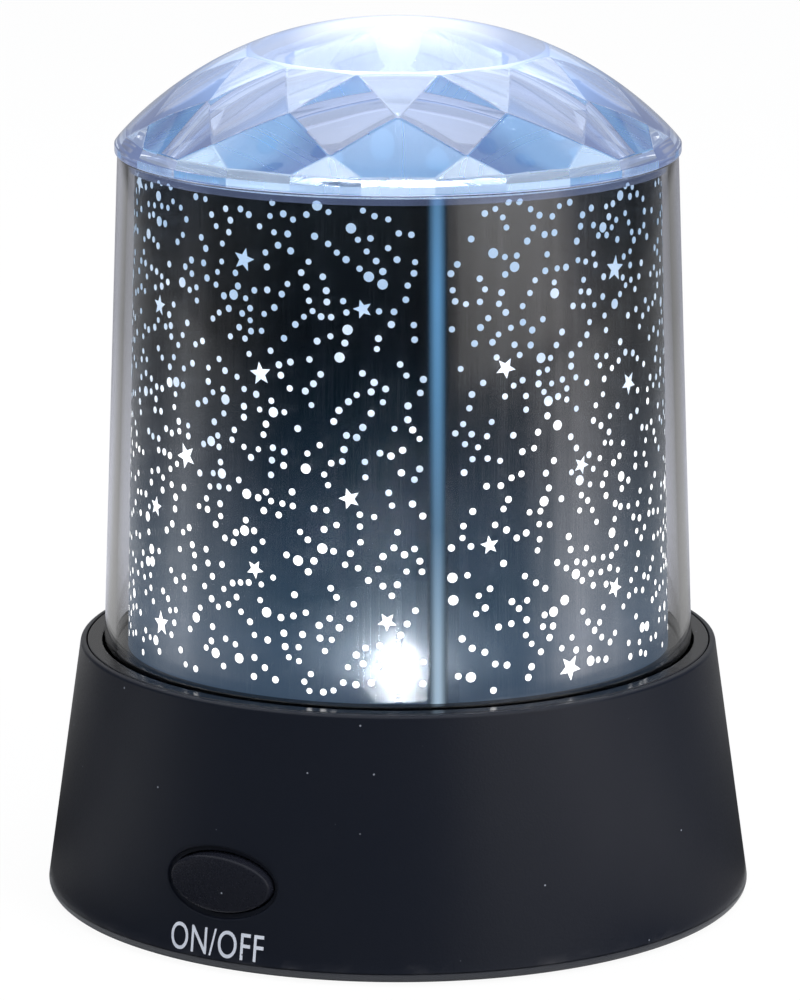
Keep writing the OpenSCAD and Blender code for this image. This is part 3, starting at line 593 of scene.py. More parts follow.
def seam_tape():
    """Tape that is clear beside the seam. The light shows along the gap between the film's edges, and
    its level follows the distance from the seam's line."""
    m, t, s = material("seam_tape", Base_Color=(0.02, 0.025, 0.035))
    fade = ramp(t, by_height(t, 45 * MM, 110 * MM), [
        (0.0, (0.40, 0.54, 0.68)), (0.12, (0.26, 0.39, 0.53)), (0.28, (0.12, 0.23, 0.36)),
        (0.55, (0.11, 0.27, 0.47)), (0.8, (0.12, 0.31, 0.56)), (1.0, (0.10, 0.24, 0.42)),
    ])
    off = calc(t, "ABSOLUTE", measure(
        t, "DOT_PRODUCT", object_point(t), (-math.sin(SEAM), math.cos(SEAM), 0)
    ))
    near = ramp(t, remap(t, off, 0.0, 1.6 * MM), [
        (0.0, 1.0), (0.22, 0.9), (0.5, 0.48), (0.6, 0.34), (0.78, 0.12), (1.0, 0.0)
    ])
    g = place_group(t, moulded_grain, {"Size": 1 * MM, "Roughness": 0.2, "Spread": 0.15})
    feed(t, s, {
        "Emission Color": scaled(t, fade, near),
        "Emission Strength": 1.0,
        "Alpha": remap(t, near, 0.0, 0.36, 0.06, 1.0),
        "Roughness": g["Roughness"],
    })
    return m


def lamp_lens():
    """Frosted lens of the lit lamp."""
    m, t, s = material("lamp_lens", Base_Color=(0.9, 0.95, 1.0), Roughness=0.2)
    frost = noise(t, object_point(t), 500.0)
    glow = ramp(t, frost, [(0.3, (0.80, 0.90, 1.0)), (0.7, (1.0, 1.0, 1.0))])
    feed(t, s, {"Emission Color": glow, "Emission Strength": finish().lamp_power})
    return m


# ---------------------------------------------------------------- housing


def wall_radius(z, depth=0.0):
    """Radius of the housing's cone at the height z, less a depth."""
    s = sizes()
    return s.rim_radius - (s.rim_radius - s.shoulder_radius) * (z - s.rim_lift) / s.housing_height - depth


def on_wall(x, z, depth=0.0):
    """Point of the cone that lies behind (x, z) as seen from the front: y = -sqrt(r(z)^2 - x^2)."""
    return np.stack([x, -np.sqrt(wall_radius(z, depth) ** 2 - x**2), z], -1)


def housing_mesh():
    """A cone's wall from a closed outline turned about the axis. Round the button the grid gives way to
    rings that pass from the grid's border to an oval, step down the bezel and run through the wall."""
    s = sizes()
    foot, top = s.rim_lift, deck_height()
    middle = foot + s.button_height
    low, high = middle - 7.0 * MM, middle + 7.0 * MM
    # rows of the outer wall under the button's window, rows beside it, rows of the inner wall over it
    under, beside, over = 5, 15, 8
    outer_z = np.concatenate([
        np.linspace(foot + 1.36 * MM, low, under),
        np.linspace(low, high, beside)[1:],
        np.linspace(high, top - 0.62 * MM, 15)[1:],
    ])
    inner_z = np.concatenate([
        np.linspace(top - 4.6 * MM, high, over),
        np.linspace(high, low, beside)[1:],
        np.linspace(low, foot + 5.5 * MM, 3)[1:],
    ])
    # ledge that the deck's ring drops onto, and step that the base plate fits into
    ring_out, ring_in, ring_z = 46.3 * MM, 44.9 * MM, top - 1.6 * MM
    plate_out, plate_in, plate_z = 50.1 * MM, 47.9 * MM, foot + 3.0 * MM
    toe, knee, neck = s.rim_radius - 2.4 * MM, foot + 3 * MM, top - 2 * MM
    rim = rounded([
        (toe, foot, 0), (s.rim_radius, foot, 1.25 * MM), (wall_radius(knee), knee, 0)
    ], 6)[1:-1]
    lip = rounded([
        (wall_radius(neck), neck, 0), (s.shoulder_radius, top, 0.55 * MM), (ring_out, top, 0.12 * MM),
        (ring_out, ring_z, 0),
    ], 5)[1:-1]
    ledge = [(ring_out, ring_z), (ring_in, ring_z), (ring_in, top - 3.6 * MM)]
    outline = np.concatenate([
        [(toe, foot)], rim, pairs(wall_radius(outer_z), outer_z), lip,
        ledge, pairs(wall_radius(inner_z, s.wall), inner_z),
        [(plate_in, foot + 4.5 * MM), (plate_in, plate_z), (plate_out, plate_z)],
    ])
    # the window in the grid: half its columns to either side of the front, and the rows beside it
    columns, half, rows = 240, 9, beside - 1
    front = 3 * columns // 4
    first_out = len(rim) + under
    first_in = len(rim) + len(outer_z) + len(lip) + len(ledge) + over
    v, f = lathe(outline, columns)
    row, col = np.divmod(np.arange(len(f)), columns)
    in_rows = ((row >= first_out) & (row < first_out + rows)) | ((row >= first_in) & (row < first_in + rows))
    gap = (col >= front - half) & (col < front + half) & in_rows
    f = [q for q, g in zip(f, gap) if not g]

    turn = np.arange(-half, half + 1) * TURN / columns
    heights = np.linspace(low, high, beside)
    border_t = np.concatenate([turn[:-1], np.full(rows, turn[-1]), turn[:0:-1], np.full(rows, turn[0])])
    border_z = np.concatenate([np.full(2 * half, low), heights[:-1], np.full(2 * half, high), heights[:0:-1]])

    def border(depth):
        """The window's border as (x, z), on the wall's outer face or at a depth under it."""
        return np.array([wall_radius(border_z, depth) * np.sin(border_t), border_z])

    outer_border = border(0.0)
    way = np.arctan2((outer_border[1] - middle) / s.button_tall, outer_border[0] / s.button_width)

    def oval(more):
        """The button's oval, larger by more all round, as (x, z)."""
        wide, tall = s.button_width / 2 + more, s.button_tall / 2 + more
        return np.array([wide * np.cos(way), middle + tall * np.sin(way)])

    def between(a, b, share, depth):
        return on_wall(*(a + (b - a) * share), depth)

    # the bezel's steps: millimetres outside the oval, and millimetres under the wall's face
    bezel = [(1.00, 0.02), (0.96, 0.08), (0.94, 0.38), (0.90, 0.47), (0.80, 0.5), (0.45, 0.5),
             (0.32, 0.53), (0.25, 0.62), (0.25, 1.2), (0.25, 1.9)]
    edge, hole = oval(1.05 * MM), oval(0.25 * MM)
    rings = [between(outer_border, edge, k, 0.0) for k in (0, 0.3, 0.6, 0.85, 1.0)]
    rings += [on_wall(*oval(more * MM), depth * MM) for more, depth in bezel]
    rings += [between(hole, border(s.wall), k, s.wall) for k in (0, 0.4, 0.75, 1.0)]
    return weld(*join((v, f), sleeve(rings)))


def letter_mesh(context, text):
    """The text as a thin solid on the cone: each point goes to its arc length from the front, and its
    faces lie a hair proud of the wall and a hair under it."""
    words = bpy.data.curves.new("letters", "FONT")
    words.body = text
    words.size, words.extrude, words.space_character = 1.0, 0.02, 1.06
    words.align_x, words.align_y = "CENTER", "CENTER"
    loose = bpy.data.objects.new("letters", words)
    context.scene.collection.objects.link(loose)
    context.view_layer.update()
    mesh = bpy.data.meshes.new_from_object(loose)
    bpy.data.objects.remove(loose)
    co = np.zeros(len(mesh.vertices) * 3, np.float32)
    mesh.vertices.foreach_get("co", co)
    co = co.reshape(-1, 3)
    s = sizes()
    print_width, print_middle = 15.4 * MM, s.rim_lift + 3.9 * MM
    proud, sunk = 0.035 * MM, -0.06 * MM
    middle = (co.max(0) + co.min(0)) / 2
    x = (co[:, 0] - middle[0]) * print_width / np.ptp(co[:, 0])
    z = print_middle + (co[:, 1] - middle[1]) * s.print_height / np.ptp(co[:, 1])
    r = wall_radius(z) + np.where(co[:, 2] > 0, proud, sunk)
    a = FRONT + x / wall_radius(z)
    return weld(np.stack([r * np.cos(a), r * np.sin(a), z], -1), [list(p.vertices) for p in mesh.polygons])


class STARLIGHT_OT_housing(bpy.types.Operator):
    """Make the moulded housing and the letters under its button"""

    bl_idname = "starlight.housing"
    bl_label = "Housing"

    def execute(self, context):
        f = finish()
        black = moulded(
            "housing_black", tuple(f.housing_colour), (0.055, 0.055, 0.062), roughness=0.36,
            grain=0.35 * MM, depth=0.012 * MM, spread=0.16, wear=0.55, dust=0.02, Specular_IOR_Level=0.68,
        )
        piece("housing_shell", *housing_mesh(), [black], node="base_shell", slot="black_abs", turn_out=True)
        ink = moulded(
            "letter_ink", tuple(f.print_colour), (0.75, 0.77, 0.82), roughness=0.55,
            grain=0.2 * MM, wear=0.3, dust=0.10, dust_colour=(0.10, 0.10, 0.12),
        )
        letters = letter_mesh(context, "ON/OFF")
        piece("button_letters", *letters, [ink], slot="white_plastic", turn_out=True)
        return {"FINISHED"}


# ---------------------------------------------------------------- button


def button_mesh():
    """Oval rings from the face to the end of the stem, joined one after the other and closed by a cap
    at either end. The face is part of a ball: it lies back by the ball's sag at (x, z)."""
    s = sizes()
    low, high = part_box("button_cap")
    face, middle = -low.y, s.rim_lift + s.button_height
    wide, tall, ball = s.button_width / 2, s.button_tall / 2, 26 * MM
    # the lip behind the wall: its front and back, and how far it stands out all round
    lip, lip_back, lip_out = 46.5 * MM, 45.5 * MM, 1.3 * MM
    stem = 2.4 * MM
    n = 96
    t = np.arange(n) * TURN / n

    def ring(across, up, y):
        return np.stack([across * np.cos(t), np.broadcast_to(y, n), middle + up * np.sin(t)], -1)

    def crowned(share, inset=0.0, back=0.0):
        across, up = wide * share - inset, tall * share - inset
        sag = np.sqrt(ball**2 - (across * np.cos(t)) ** 2 - (up * np.sin(t)) ** 2)
        return ring(across, up, back - (face - ball + sag))

    rows = [crowned(share) for share in (0.04, 0.2, 0.4, 0.6, 0.75, 0.86, 0.93)]
    # the face's rounded edge: millimetres inside the oval, and millimetres behind the ball
    edge = [(0.35, 0.01), (0.16, 0.06), (0.05, 0.16), (0.0, 0.32)]
    rows += [crowned(1.0, inset * MM, back * MM) for inset, back in edge]
    fillet = 0.12 * MM
    rows += [ring(wide, tall, -(lip + fillet) - 0.9 * MM), ring(wide, tall, -(lip + fillet))]
    steps = ((fillet, lip), (lip_out, lip), (lip_out, lip_back))
    rows += [ring(wide + out, tall + out, -y) for out, y in steps]
    rows += [ring(stem, stem, -lip_back), ring(stem, stem, high.y)]
    v, q = sleeve(rows)
    last = len(rows) - 1
    return v, q + [list(range(n))[::-1], [last * n + k for k in range(n)]]


class STARLIGHT_OT_button(bpy.types.Operator):
    """Make the oval push button, its crowned face and its retaining lip"""

    bl_idname = "starlight.button"
    bl_label = "Button"

    def execute(self, context):
        gloss = moulded(
            "button_black", (0.010, 0.011, 0.017), (0.05, 0.05, 0.06), roughness=0.27,
            grain=0.3 * MM, depth=0.006 * MM, spread=0.10, wear=0.5, dust=0.03, Specular_IOR_Level=0.45,
        )
        v, q = button_mesh()
        piece("push_button", v, q, [gloss], body="button", node="button_cap", slot="button_black",
              turn_out=True)
        return {"FINISHED"}


# ---------------------------------------------------------------- deck and drum


class STARLIGHT_OT_deck(bpy.types.Operator):
    """Make the polished deck: ring, drum groove, film seat, funnel and floor"""

    bl_idname = "starlight.deck"
    bl_label = "Deck"

    def execute(self, context):
        s = sizes()
        top, thick = deck_height(), 1.6 * MM
        lamp_hole, floor = 2.7 * MM, 30.9 * MM
        # radii of the funnel's inner face, of its outer face and of the skirt inside the housing
        funnel_low, funnel_top = 36.5 * MM, 39.0 * MM
        cup_low, cup_top, skirt = 38.1 * MM, 38.9 * MM, 44.8 * MM
        groove_in, groove_out, groove = 41.85 * MM, 43.9 * MM, top - 4 * MM
        under = groove - thick
        outline = rounded([
            (lamp_hole, floor - thick, 0), (cup_low, floor - thick, 0), (cup_top, under, 0),
            (skirt, under, 0), (skirt, top - thick, 0), (s.deck_radius, top - thick, 0),
            (s.deck_radius, top, 0.25 * MM), (groove_out, top, 0.3 * MM), (groove_out, groove, 0),
            (groove_in, groove, 0), (groove_in, top, 0.2 * MM), (funnel_top, top, 0.25 * MM),
            (funnel_low, floor, 1.2 * MM), (lamp_hole, floor, 0.2 * MM),
        ], 5)
        gloss = moulded(
            "deck_black", tuple(finish().deck_colour), (0.05, 0.05, 0.06), roughness=0.2,
            grain=0.5 * MM, depth=0.004 * MM, spread=0.10, wear=0.35, dust=0.06, Specular_IOR_Level=0.5,
        )
        piece("glossy_deck", *lathe(outline, 224), [gloss], node="top_deck", slot="deck_black")
        return {"FINISHED"}


class STARLIGHT_OT_drum(bpy.types.Operator):
    """Make the clear tapered drum with its rounded top edge"""

    bl_idname = "starlight.drum"
    bl_label = "Drum"

    def execute(self, context):
        s = sizes()
        in_groove = 4 * MM
        low, top = deck_height() - in_groove, drum_top()
        slope = (s.drum_low_radius - s.drum_top_radius) / s.drum_height
        foot = s.drum_low_radius + slope * in_groove
        outline = rounded([
            (foot - s.drum_wall, low, 0.2 * MM), (foot, low, 0.2 * MM),
            (s.drum_top_radius, top, 0.25 * MM), (s.drum_top_radius - s.drum_wall, top, 0.2 * MM),
        ], 4)
        clear = clear_plastic("drum_clear", (0.985, 0.99, 1.0), 0.03, 0.03 * MM)[0]
        v, q = lathe(outline, 256)
        piece("clear_drum_wall", v, q, [clear], node="clear_drum", slot="drum_clear", smooth=40)
        return {"FINISHED"}


# ---------------------------------------------------------------- star film


# rows of points from the film's lower edge to its upper one
FILM_ROWS = 12


def film_radius(z):
    """Outer radius of the film's cone at the height z."""
    s = sizes()
    return s.film_low_radius + (s.film_top_radius - s.film_low_radius) * (z - deck_height()) / s.film_height


def on_film(a, z, lift):
    """Point at the angle a and height z, lifted off the film's outer face."""
    r = film_radius(z) + lift
    return np.stack([r * np.cos(a), r * np.sin(a), z], -1)


def off_seam(a):
    """Angle between each direction and the seam, from 0 to half a turn."""
    return np.abs((a - SEAM + math.pi) % TURN - math.pi)


def film_wall(outer, inner, beside, steps, over_seam=False):
    """Wall between two lifts off the film's outer face, as high as the film. It ends at the distance
    beside to either side of the seam, and runs round the back or, for the tape, over the seam."""
    deck = deck_height()
    top = deck + sizes().film_height
    up = np.linspace(deck, top, FILM_ROWS)
    down = up[::-1]
    outline = np.concatenate([pairs(film_radius(up) + outer, up), pairs(film_radius(down) + inner, down)])
    half = beside / film_radius((deck + top) / 2)
    if over_seam:
        return lathe(outline, steps, start=SEAM - half, sweep=2 * half)
    return lathe(outline, steps, start=SEAM + half, sweep=TURN - 2 * half)


def window_prisms(a, z, outline, size, turn):
    """Thin solid at each (angle, height): the outline scaled and turned in the film's plane, with one
    cap 0.05 mm proud of the film and one 0.25 mm under its face."""
    n = outline.shape[0]
    c, s = np.cos(turn)[:, None], np.sin(turn)[:, None]
    u = size[:, None] * (outline[None, :, 0] * c - outline[None, :, 1] * s)
    w = size[:, None] * (outline[None, :, 0] * s + outline[None, :, 1] * c)
    zz = z[:, None] + w
    aa = a[:, None] + u / film_radius(zz)
    verts = np.stack([on_film(aa, zz, 0.05 * MM), on_film(aa, zz, -0.25 * MM)], 1).reshape(-1, 3)
    base = np.arange(len(a))[:, None] * 2 * n
    k = np.arange(n)
    on = (k + 1) % n
    side = np.stack([base + k, base + n + k, base + n + on, base + on], -1).reshape(-1, 4)
    return verts, (base + k).tolist() + (base + n + k[::-1]).tolist() + side.tolist()


def star_layout(draws, low, high):
    """Angle, height, size and turn of each star, on a golden-angle spiral that is shaken a little."""
    count = 50
    i = np.arange(count)
    a = SEAM + math.radians(24) + i * GOLDEN + draws.uniform(-0.10, 0.10, count)
    z = low + 1.5 * MM + (high - low - 3 * MM) * (i + 0.5) / count + draws.uniform(-2.0, 2.0, count) * MM
    z = np.clip(z, low + 1 * MM, high - 1 * MM)
    size = sizes().star_radius * draws.choice([0.66, 0.74, 0.82, 0.92, 1.0], count)
    return a, z, size, draws.uniform(0, TURN, count)


def dot_chains(draws, low, high):
    """Short chains of dots that set out from the points of a golden-angle spiral: each dot lies one
    step further along a direction that bends steadily."""
    chains, longest = 1100, 4
    i = np.arange(chains)
    a0 = SEAM + 0.2 + i * GOLDEN
    z0 = low + (high - low) * (i + 0.5) / chains
    heading = draws.uniform(0, TURN, (chains, 1))
    bend = draws.uniform(-0.5, 0.5, (chains, 1))
    k = np.arange(longest)[None, :]
    way = heading + bend * k + draws.normal(0, 0.35, (chains, longest))
    stride = draws.uniform(1.5, 2.3, (chains, longest)) * MM
    dx, dz = (np.cumsum(f(way) * stride, 1) - f(way[:, :1]) * stride[:, :1] for f in (np.cos, np.sin))
    alive = k < draws.integers(2, longest + 1, (chains, 1))
    z = (z0[:, None] + dz)[alive]
    a = (a0[:, None] + dx / film_radius(z0)[:, None])[alive]
    keep = (z > low) & (z < high)
    return a[keep] % TURN, z[keep]


def apart(a1, z1, a2, z2):
    """Distance over the film from each of the first points to each of the second."""
    d = (a1[:, None] - a2[None, :] + math.pi) % TURN - math.pi
    return np.hypot(d * film_radius(z1)[:, None], z1[:, None] - z2[None, :])


def window_layout():
    """Stars, then chains of dots between them. Dots too near a star, the seam or an earlier dot are
    dropped, and so are stars too near the seam."""
    s = sizes()
    draws = np.random.default_rng(41)
    star_gap, dot_gap, seam_gap, star_seam_gap = 0.45 * MM, 1.38 * MM, 1.9 * MM, 1.2 * MM
    large_share, large_dot = 0.06, 0.74 * MM
    low, high = deck_height() + 1.4 * MM, deck_height() + s.film_height - 0.8 * MM
    star_a, star_z, star_size, star_turn = star_layout(draws, low, high)
    a, z = dot_chains(draws, low, high)
    clear_stars = (apart(a, z, star_a, star_z) > star_size[None, :] + star_gap).all(1)
    clear_seam = off_seam(a) * film_radius(z) > seam_gap
    a, z = a[clear_stars & clear_seam], z[clear_stars & clear_seam]
    crowded = np.tril(apart(a, z, a, z) < dot_gap, -1).any(1)
    a, z = a[~crowded], z[~crowded]
    large = draws.random(len(a)) < large_share
    size = np.where(large, large_dot, s.dot_radius * draws.uniform(0.9, 1.12, len(a)))
    far = off_seam(star_a) * film_radius(star_z) > star_size + star_seam_gap
    return (star_a[far], star_z[far], star_size[far], star_turn[far]), (a, z, size)


class STARLIGHT_OT_film(bpy.types.Operator):
    """Make the mirror film, its star and dot windows, and the lit seam"""

    bl_idname = "starlight.film"
    bl_label = "Star film"

    def execute(self, context):
        s = sizes()
        steps = 256
        v, q = film_wall(0.0, -s.film_thick, s.seam_width / 2, steps)
        # rows of the inner face follow those of the outer one; the two end faces come last
        row = np.arange(len(q) - 2) // steps
        inside = (row >= FILM_ROWS) & (row < 2 * FILM_ROWS - 1)
        pick = np.concatenate([inside, [0, 0]])
        piece("mirror_film", v, q, [film_mirror(), film_inside()], node="star_film", slot="film_mirror",
              pick=pick)

        stars, (dot_a, dot_z, dot_size) = window_layout()
        k = np.arange(10)
        arm = np.where(k % 2 == 0, 1.0, 0.44)
        star = np.stack([arm * np.sin(k * TURN / 10), arm * np.cos(k * TURN / 10)], -1)
        k = np.arange(12)
        disc = np.stack([np.cos(k * TURN / 12), np.sin(k * TURN / 12)], -1)
        star_light, dot_light = window_light("star_light", 2.2), window_light("dot_light", 2.0)
        back = window_back()
        for name, light, layout in (
            ("star_windows", star_light, (*stars[:2], star, *stars[2:])),
            ("dot_windows", dot_light, (dot_a, dot_z, disc, dot_size, np.zeros(len(dot_a)))),
        ):
            v, q = window_prisms(*layout)
            pick = np.arange(len(q)) >= len(layout[0])
            piece(name, v, q, [light, back], slot="film_mirror", smooth=None, pick=pick)

        v, q = film_wall(0.12 * MM, 0.02 * MM, 3 * MM, 16, over_seam=True)
        piece("seam_strip", v, q, [seam_tape()], node="film_tape", slot="tape_clear")
        return {"FINISHED"}


# ---------------------------------------------------------------- dome


# facets round each row, and steps round the smooth outer skin, which the corners of the inner wall
# divide evenly
FACETS = 12
SKIN_STEPS = 24 * FACETS


def crown_z(r):
    """Height of the crown's outer face: flange height + rise x (1 - (r/flange radius)^2.3)^0.93."""
    s = sizes()
    base = drum_top() + s.flange_thick
    return base + s.crown_height * (1 - np.minimum(r / s.flange_radius, 1) ** 2.3) ** 0.93


def facet_rows():
    """Radius and height of the facets' corner rows, from the mouth up. The kites, diamonds and darts
    between them are flat."""
    s = sizes()
    mouth = s.drum_top_radius - s.drum_wall - 0.8 * MM
    r1, r2, r3 = mouth - 2.1 * MM, mouth - 8.1 * MM, mouth - 16.4 * MM
    step = TURN / FACETS
    z1 = crown_z(r1) - s.dome_wall - 0.2 * MM
    z3 = crown_z(r3) - s.dome_wall
    z2 = z1 + (z3 - z1) * (r1 - r2 * math.cos(step / 2)) / (r1 - r3)
    fall = (z2 - z1) / (r1 * math.cos(step / 2) - r2)
    z0 = z1 - fall * (mouth * math.cos(step / 4) - r1 * math.cos(step / 2))
    return (mouth, z0), (r1, z1), (r2, z2), (r3, z3)


def dome_ring(r, z, angles):
    """Points on a circle, at angles from the front towards +X."""
    return np.stack([r * np.sin(angles), -r * np.cos(angles), np.full(len(angles), z)], -1)


def around(count, phase):
    """Evenly spaced angles, the first at the phase."""
    return np.arange(count) * TURN / count + phase


def dome_outside():
    """Outer skin, turned about the axis: the rib inside the film's top edge, the flange and the crown,
    closed by a fan at the apex."""
    s = sizes()
    top = drum_top()
    rib_in = facet_rows()[0][0] + 0.1 * MM
    rib_out, rib_low = s.drum_top_radius - s.drum_wall - 0.1 * MM, top - 1.6 * MM
    skirt = rounded([
        (rib_in, top, 0), (rib_in, rib_low, 0.1 * MM), (rib_out, rib_low, 0.15 * MM), (rib_out, top, 0),
        (s.flange_radius, top, 0.3 * MM), (s.flange_radius, top + s.flange_thick, 0),
    ], 4)
    r = s.flange_radius * np.sqrt(np.linspace(1, 0, 60))[1:-1]
    outline = np.concatenate([skirt, pairs(r, crown_z(r))])
    v, q = lathe(outline, SKIN_STEPS, closed=False)
    last, tip = len(v) - SKIN_STEPS, len(v)
    q += [[last + k, last + (k + 1) % SKIN_STEPS, tip] for k in range(SKIN_STEPS)]
    return np.concatenate([v, [[0, 0, crown_z(0.0)]]]), q


def dome_inside():
    """Inner skin: a wall with two corners for each facet of the lowest row, then kites with corner
    faces between them, diamonds, darts, a narrow ledge and a vault. The vault's height over its edge
    is rise x (1 - (r / its radius)^2). Also gives each group of flat faces its place in the list."""
    s = sizes()
    n, step = FACETS, TURN / FACETS
    (mouth, z0), (r1, z1), (r2, z2), (r3, z3) = facet_rows()
    wall_corners = np.stack([np.arange(n) - 0.25, np.arange(n) + 0.25], -1).reshape(-1) * step
    fine = 8 * n
    vault, rise = r3 * math.cos(step / 2) - 0.6 * MM, crown_z(0.0) - s.dome_wall - z3
    share = np.linspace(1, 0, 15)[:-1]
    v = np.concatenate([
        dome_ring(mouth, drum_top(), wall_corners), dome_ring(mouth, z0, wall_corners),
        dome_ring(r1, z1, around(n, step / 2)), dome_ring(r2, z2, around(n, 0)),
        dome_ring(r3, z3, around(n, step / 2)),
        *[dome_ring(vault * k, z3 + rise * (1 - k * k), around(fine, step / 2)) for k in share],
        [[0, 0, z3 + rise]],
    ])
    # number of the wall's corners, then the first point of each row over its upper ones
    m, row1 = 2 * n, 4 * n
    row2, row3, edge = row1 + n, row1 + 2 * n, row1 + 3 * n
    wall = [[k, m + k, m + (k + 1) % m, (k + 1) % m] for k in range(m)]
    kites, corners, diamonds, darts, ledge = [], [], [], [], []
    for k in range(n):
        before, on = (k - 1) % n, (k + 1) % n
        kites.append([m + 2 * k, row1 + before, row2 + k, row1 + k, m + 2 * k + 1])
        corners.append([m + 2 * k + 1, row1 + k, m + (2 * k + 2) % m])
        diamonds.append([row1 + k, row2 + k, row3 + k, row2 + on])
        darts.append([row2 + k, row3 + before, row3 + k])
        ledge.append([row3 + k, *(edge + (8 * k + j) % fine for j in range(9)), row3 + on])
    q, groups = [], {}
    for name, faces in (("wall", wall), ("kites", kites), ("corners", corners), ("diamonds", diamonds),
                        ("darts", darts), ("ledge", ledge)):
        groups[name] = range(len(q), len(q) + len(faces))
        q += faces
    for up in range(len(share) - 1):
        here, above = edge + up * fine, edge + (up + 1) * fine
        q += [[here + k, above + k, above + (k + 1) % fine, here + (k + 1) % fine] for k in range(fine)]
    last = edge + (len(share) - 1) * fine
    q += [[last + k, last + fine, last + (k + 1) % fine] for k in range(fine)]
    return v, q, groups, (m, edge)


def mouth_faces(base):
    """Narrow flat faces that join the round skin to the corners of the inner wall, whose points start
    at base. Each takes in the skin's points over one side of the wall."""
    sides = 2 * FACETS
    per = SKIN_STEPS // sides
    shift = round((FRONT - 0.25 * TURN / FACETS) % TURN / (TURN / SKIN_STEPS))
    faces = []
    for k in range(sides):
        arc = [(shift + k * per + j) % SKIN_STEPS for j in range(per + 1)]
        faces.append([*arc[::-1], base + k, base + (k + 1) % sides])
    return faces


class STARLIGHT_OT_dome(bpy.types.Operator):
    """Make the clear dome: smooth crown outside, three rows of flat facets inside"""

    bl_idname = "starlight.dome"
    bl_label = "Faceted dome"

    def execute(self, context):
        v1, q1 = dome_outside()
        v2, q2, groups, (low_corner, past_corners) = dome_inside()
        base, outside = len(v1), len(q1)
        v, q = join((v1, q1), (v2, q2))
        q += mouth_faces(base)
        flat = np.zeros(len(q), bool)
        flat[outside:outside + groups["ledge"].stop] = True
        # light gathers in the small facets: the wall under each kite, the corner faces and the darts
        finishes = [
            dome_plastic("dome_clear", (0.035, 0.045, 0.08)),
            dome_plastic("dome_bright", (0.24, 0.27, 0.30)),
            dome_plastic("dome_corners", (0.16, 0.19, 0.22)),
        ]
        pick = np.zeros(len(q), int)
        pick[[outside + k for k in groups["wall"][::2]]] = 1
        pick[[outside + k for k in groups["corners"]]] = 2
        pick[[outside + k for k in groups["darts"]]] = 1
        dome = piece("faceted_dome", v, q, finishes, node="crystal_dome", slot="dome_clear", smooth=12,
                     turn_out=True, flat=flat, pick=pick)
        # soft edges between the facets: an edge counts when both its ends are corners of facets
        edges = dome.data.edges
        ends = np.empty(len(edges) * 2, np.int32)
        edges.foreach_get("vertices", ends)
        ends = ends.reshape(-1, 2)
        between = (ends.min(1) >= base + low_corner) & (ends.max(1) < base + past_corners)
        weight = dome.data.attributes.new("bevel_weight_edge", "FLOAT", "EDGE")
        weight.data.foreach_set("value", between.astype(np.float32))
        soft = dome.modifiers.new("soft_edges", "BEVEL")
        soft.limit_method, soft.width, soft.segments = "WEIGHT", 0.22 * MM, 2
        return {"FINISHED"}


# ---------------------------------------------------------------- inner parts


def cell_can(name, *stops):
    """Printed can of a cell: bare tin at both ends, a copper band and a black one between."""
    paint = {"tin": (0.60, 0.58, 0.52), "copper": (0.42, 0.30, 0.10), "black": (0.03, 0.03, 0.035)}
    return banded(name, [(place, paint[key]) for place, key in stops], 0.3)


def resistor_paint():
    """Tan body with a red, a blue and an ochre ring."""
    tan = (0.55, 0.42, 0.24)
    return banded("resistor_tan", [
        (0.0, tan), (0.465, (0.35, 0.02, 0.02)), (0.475, tan), (0.492, (0.02, 0.05, 0.30)),
        (0.503, tan), (0.523, (0.40, 0.30, 0.05)), (0.532, tan),
    ])


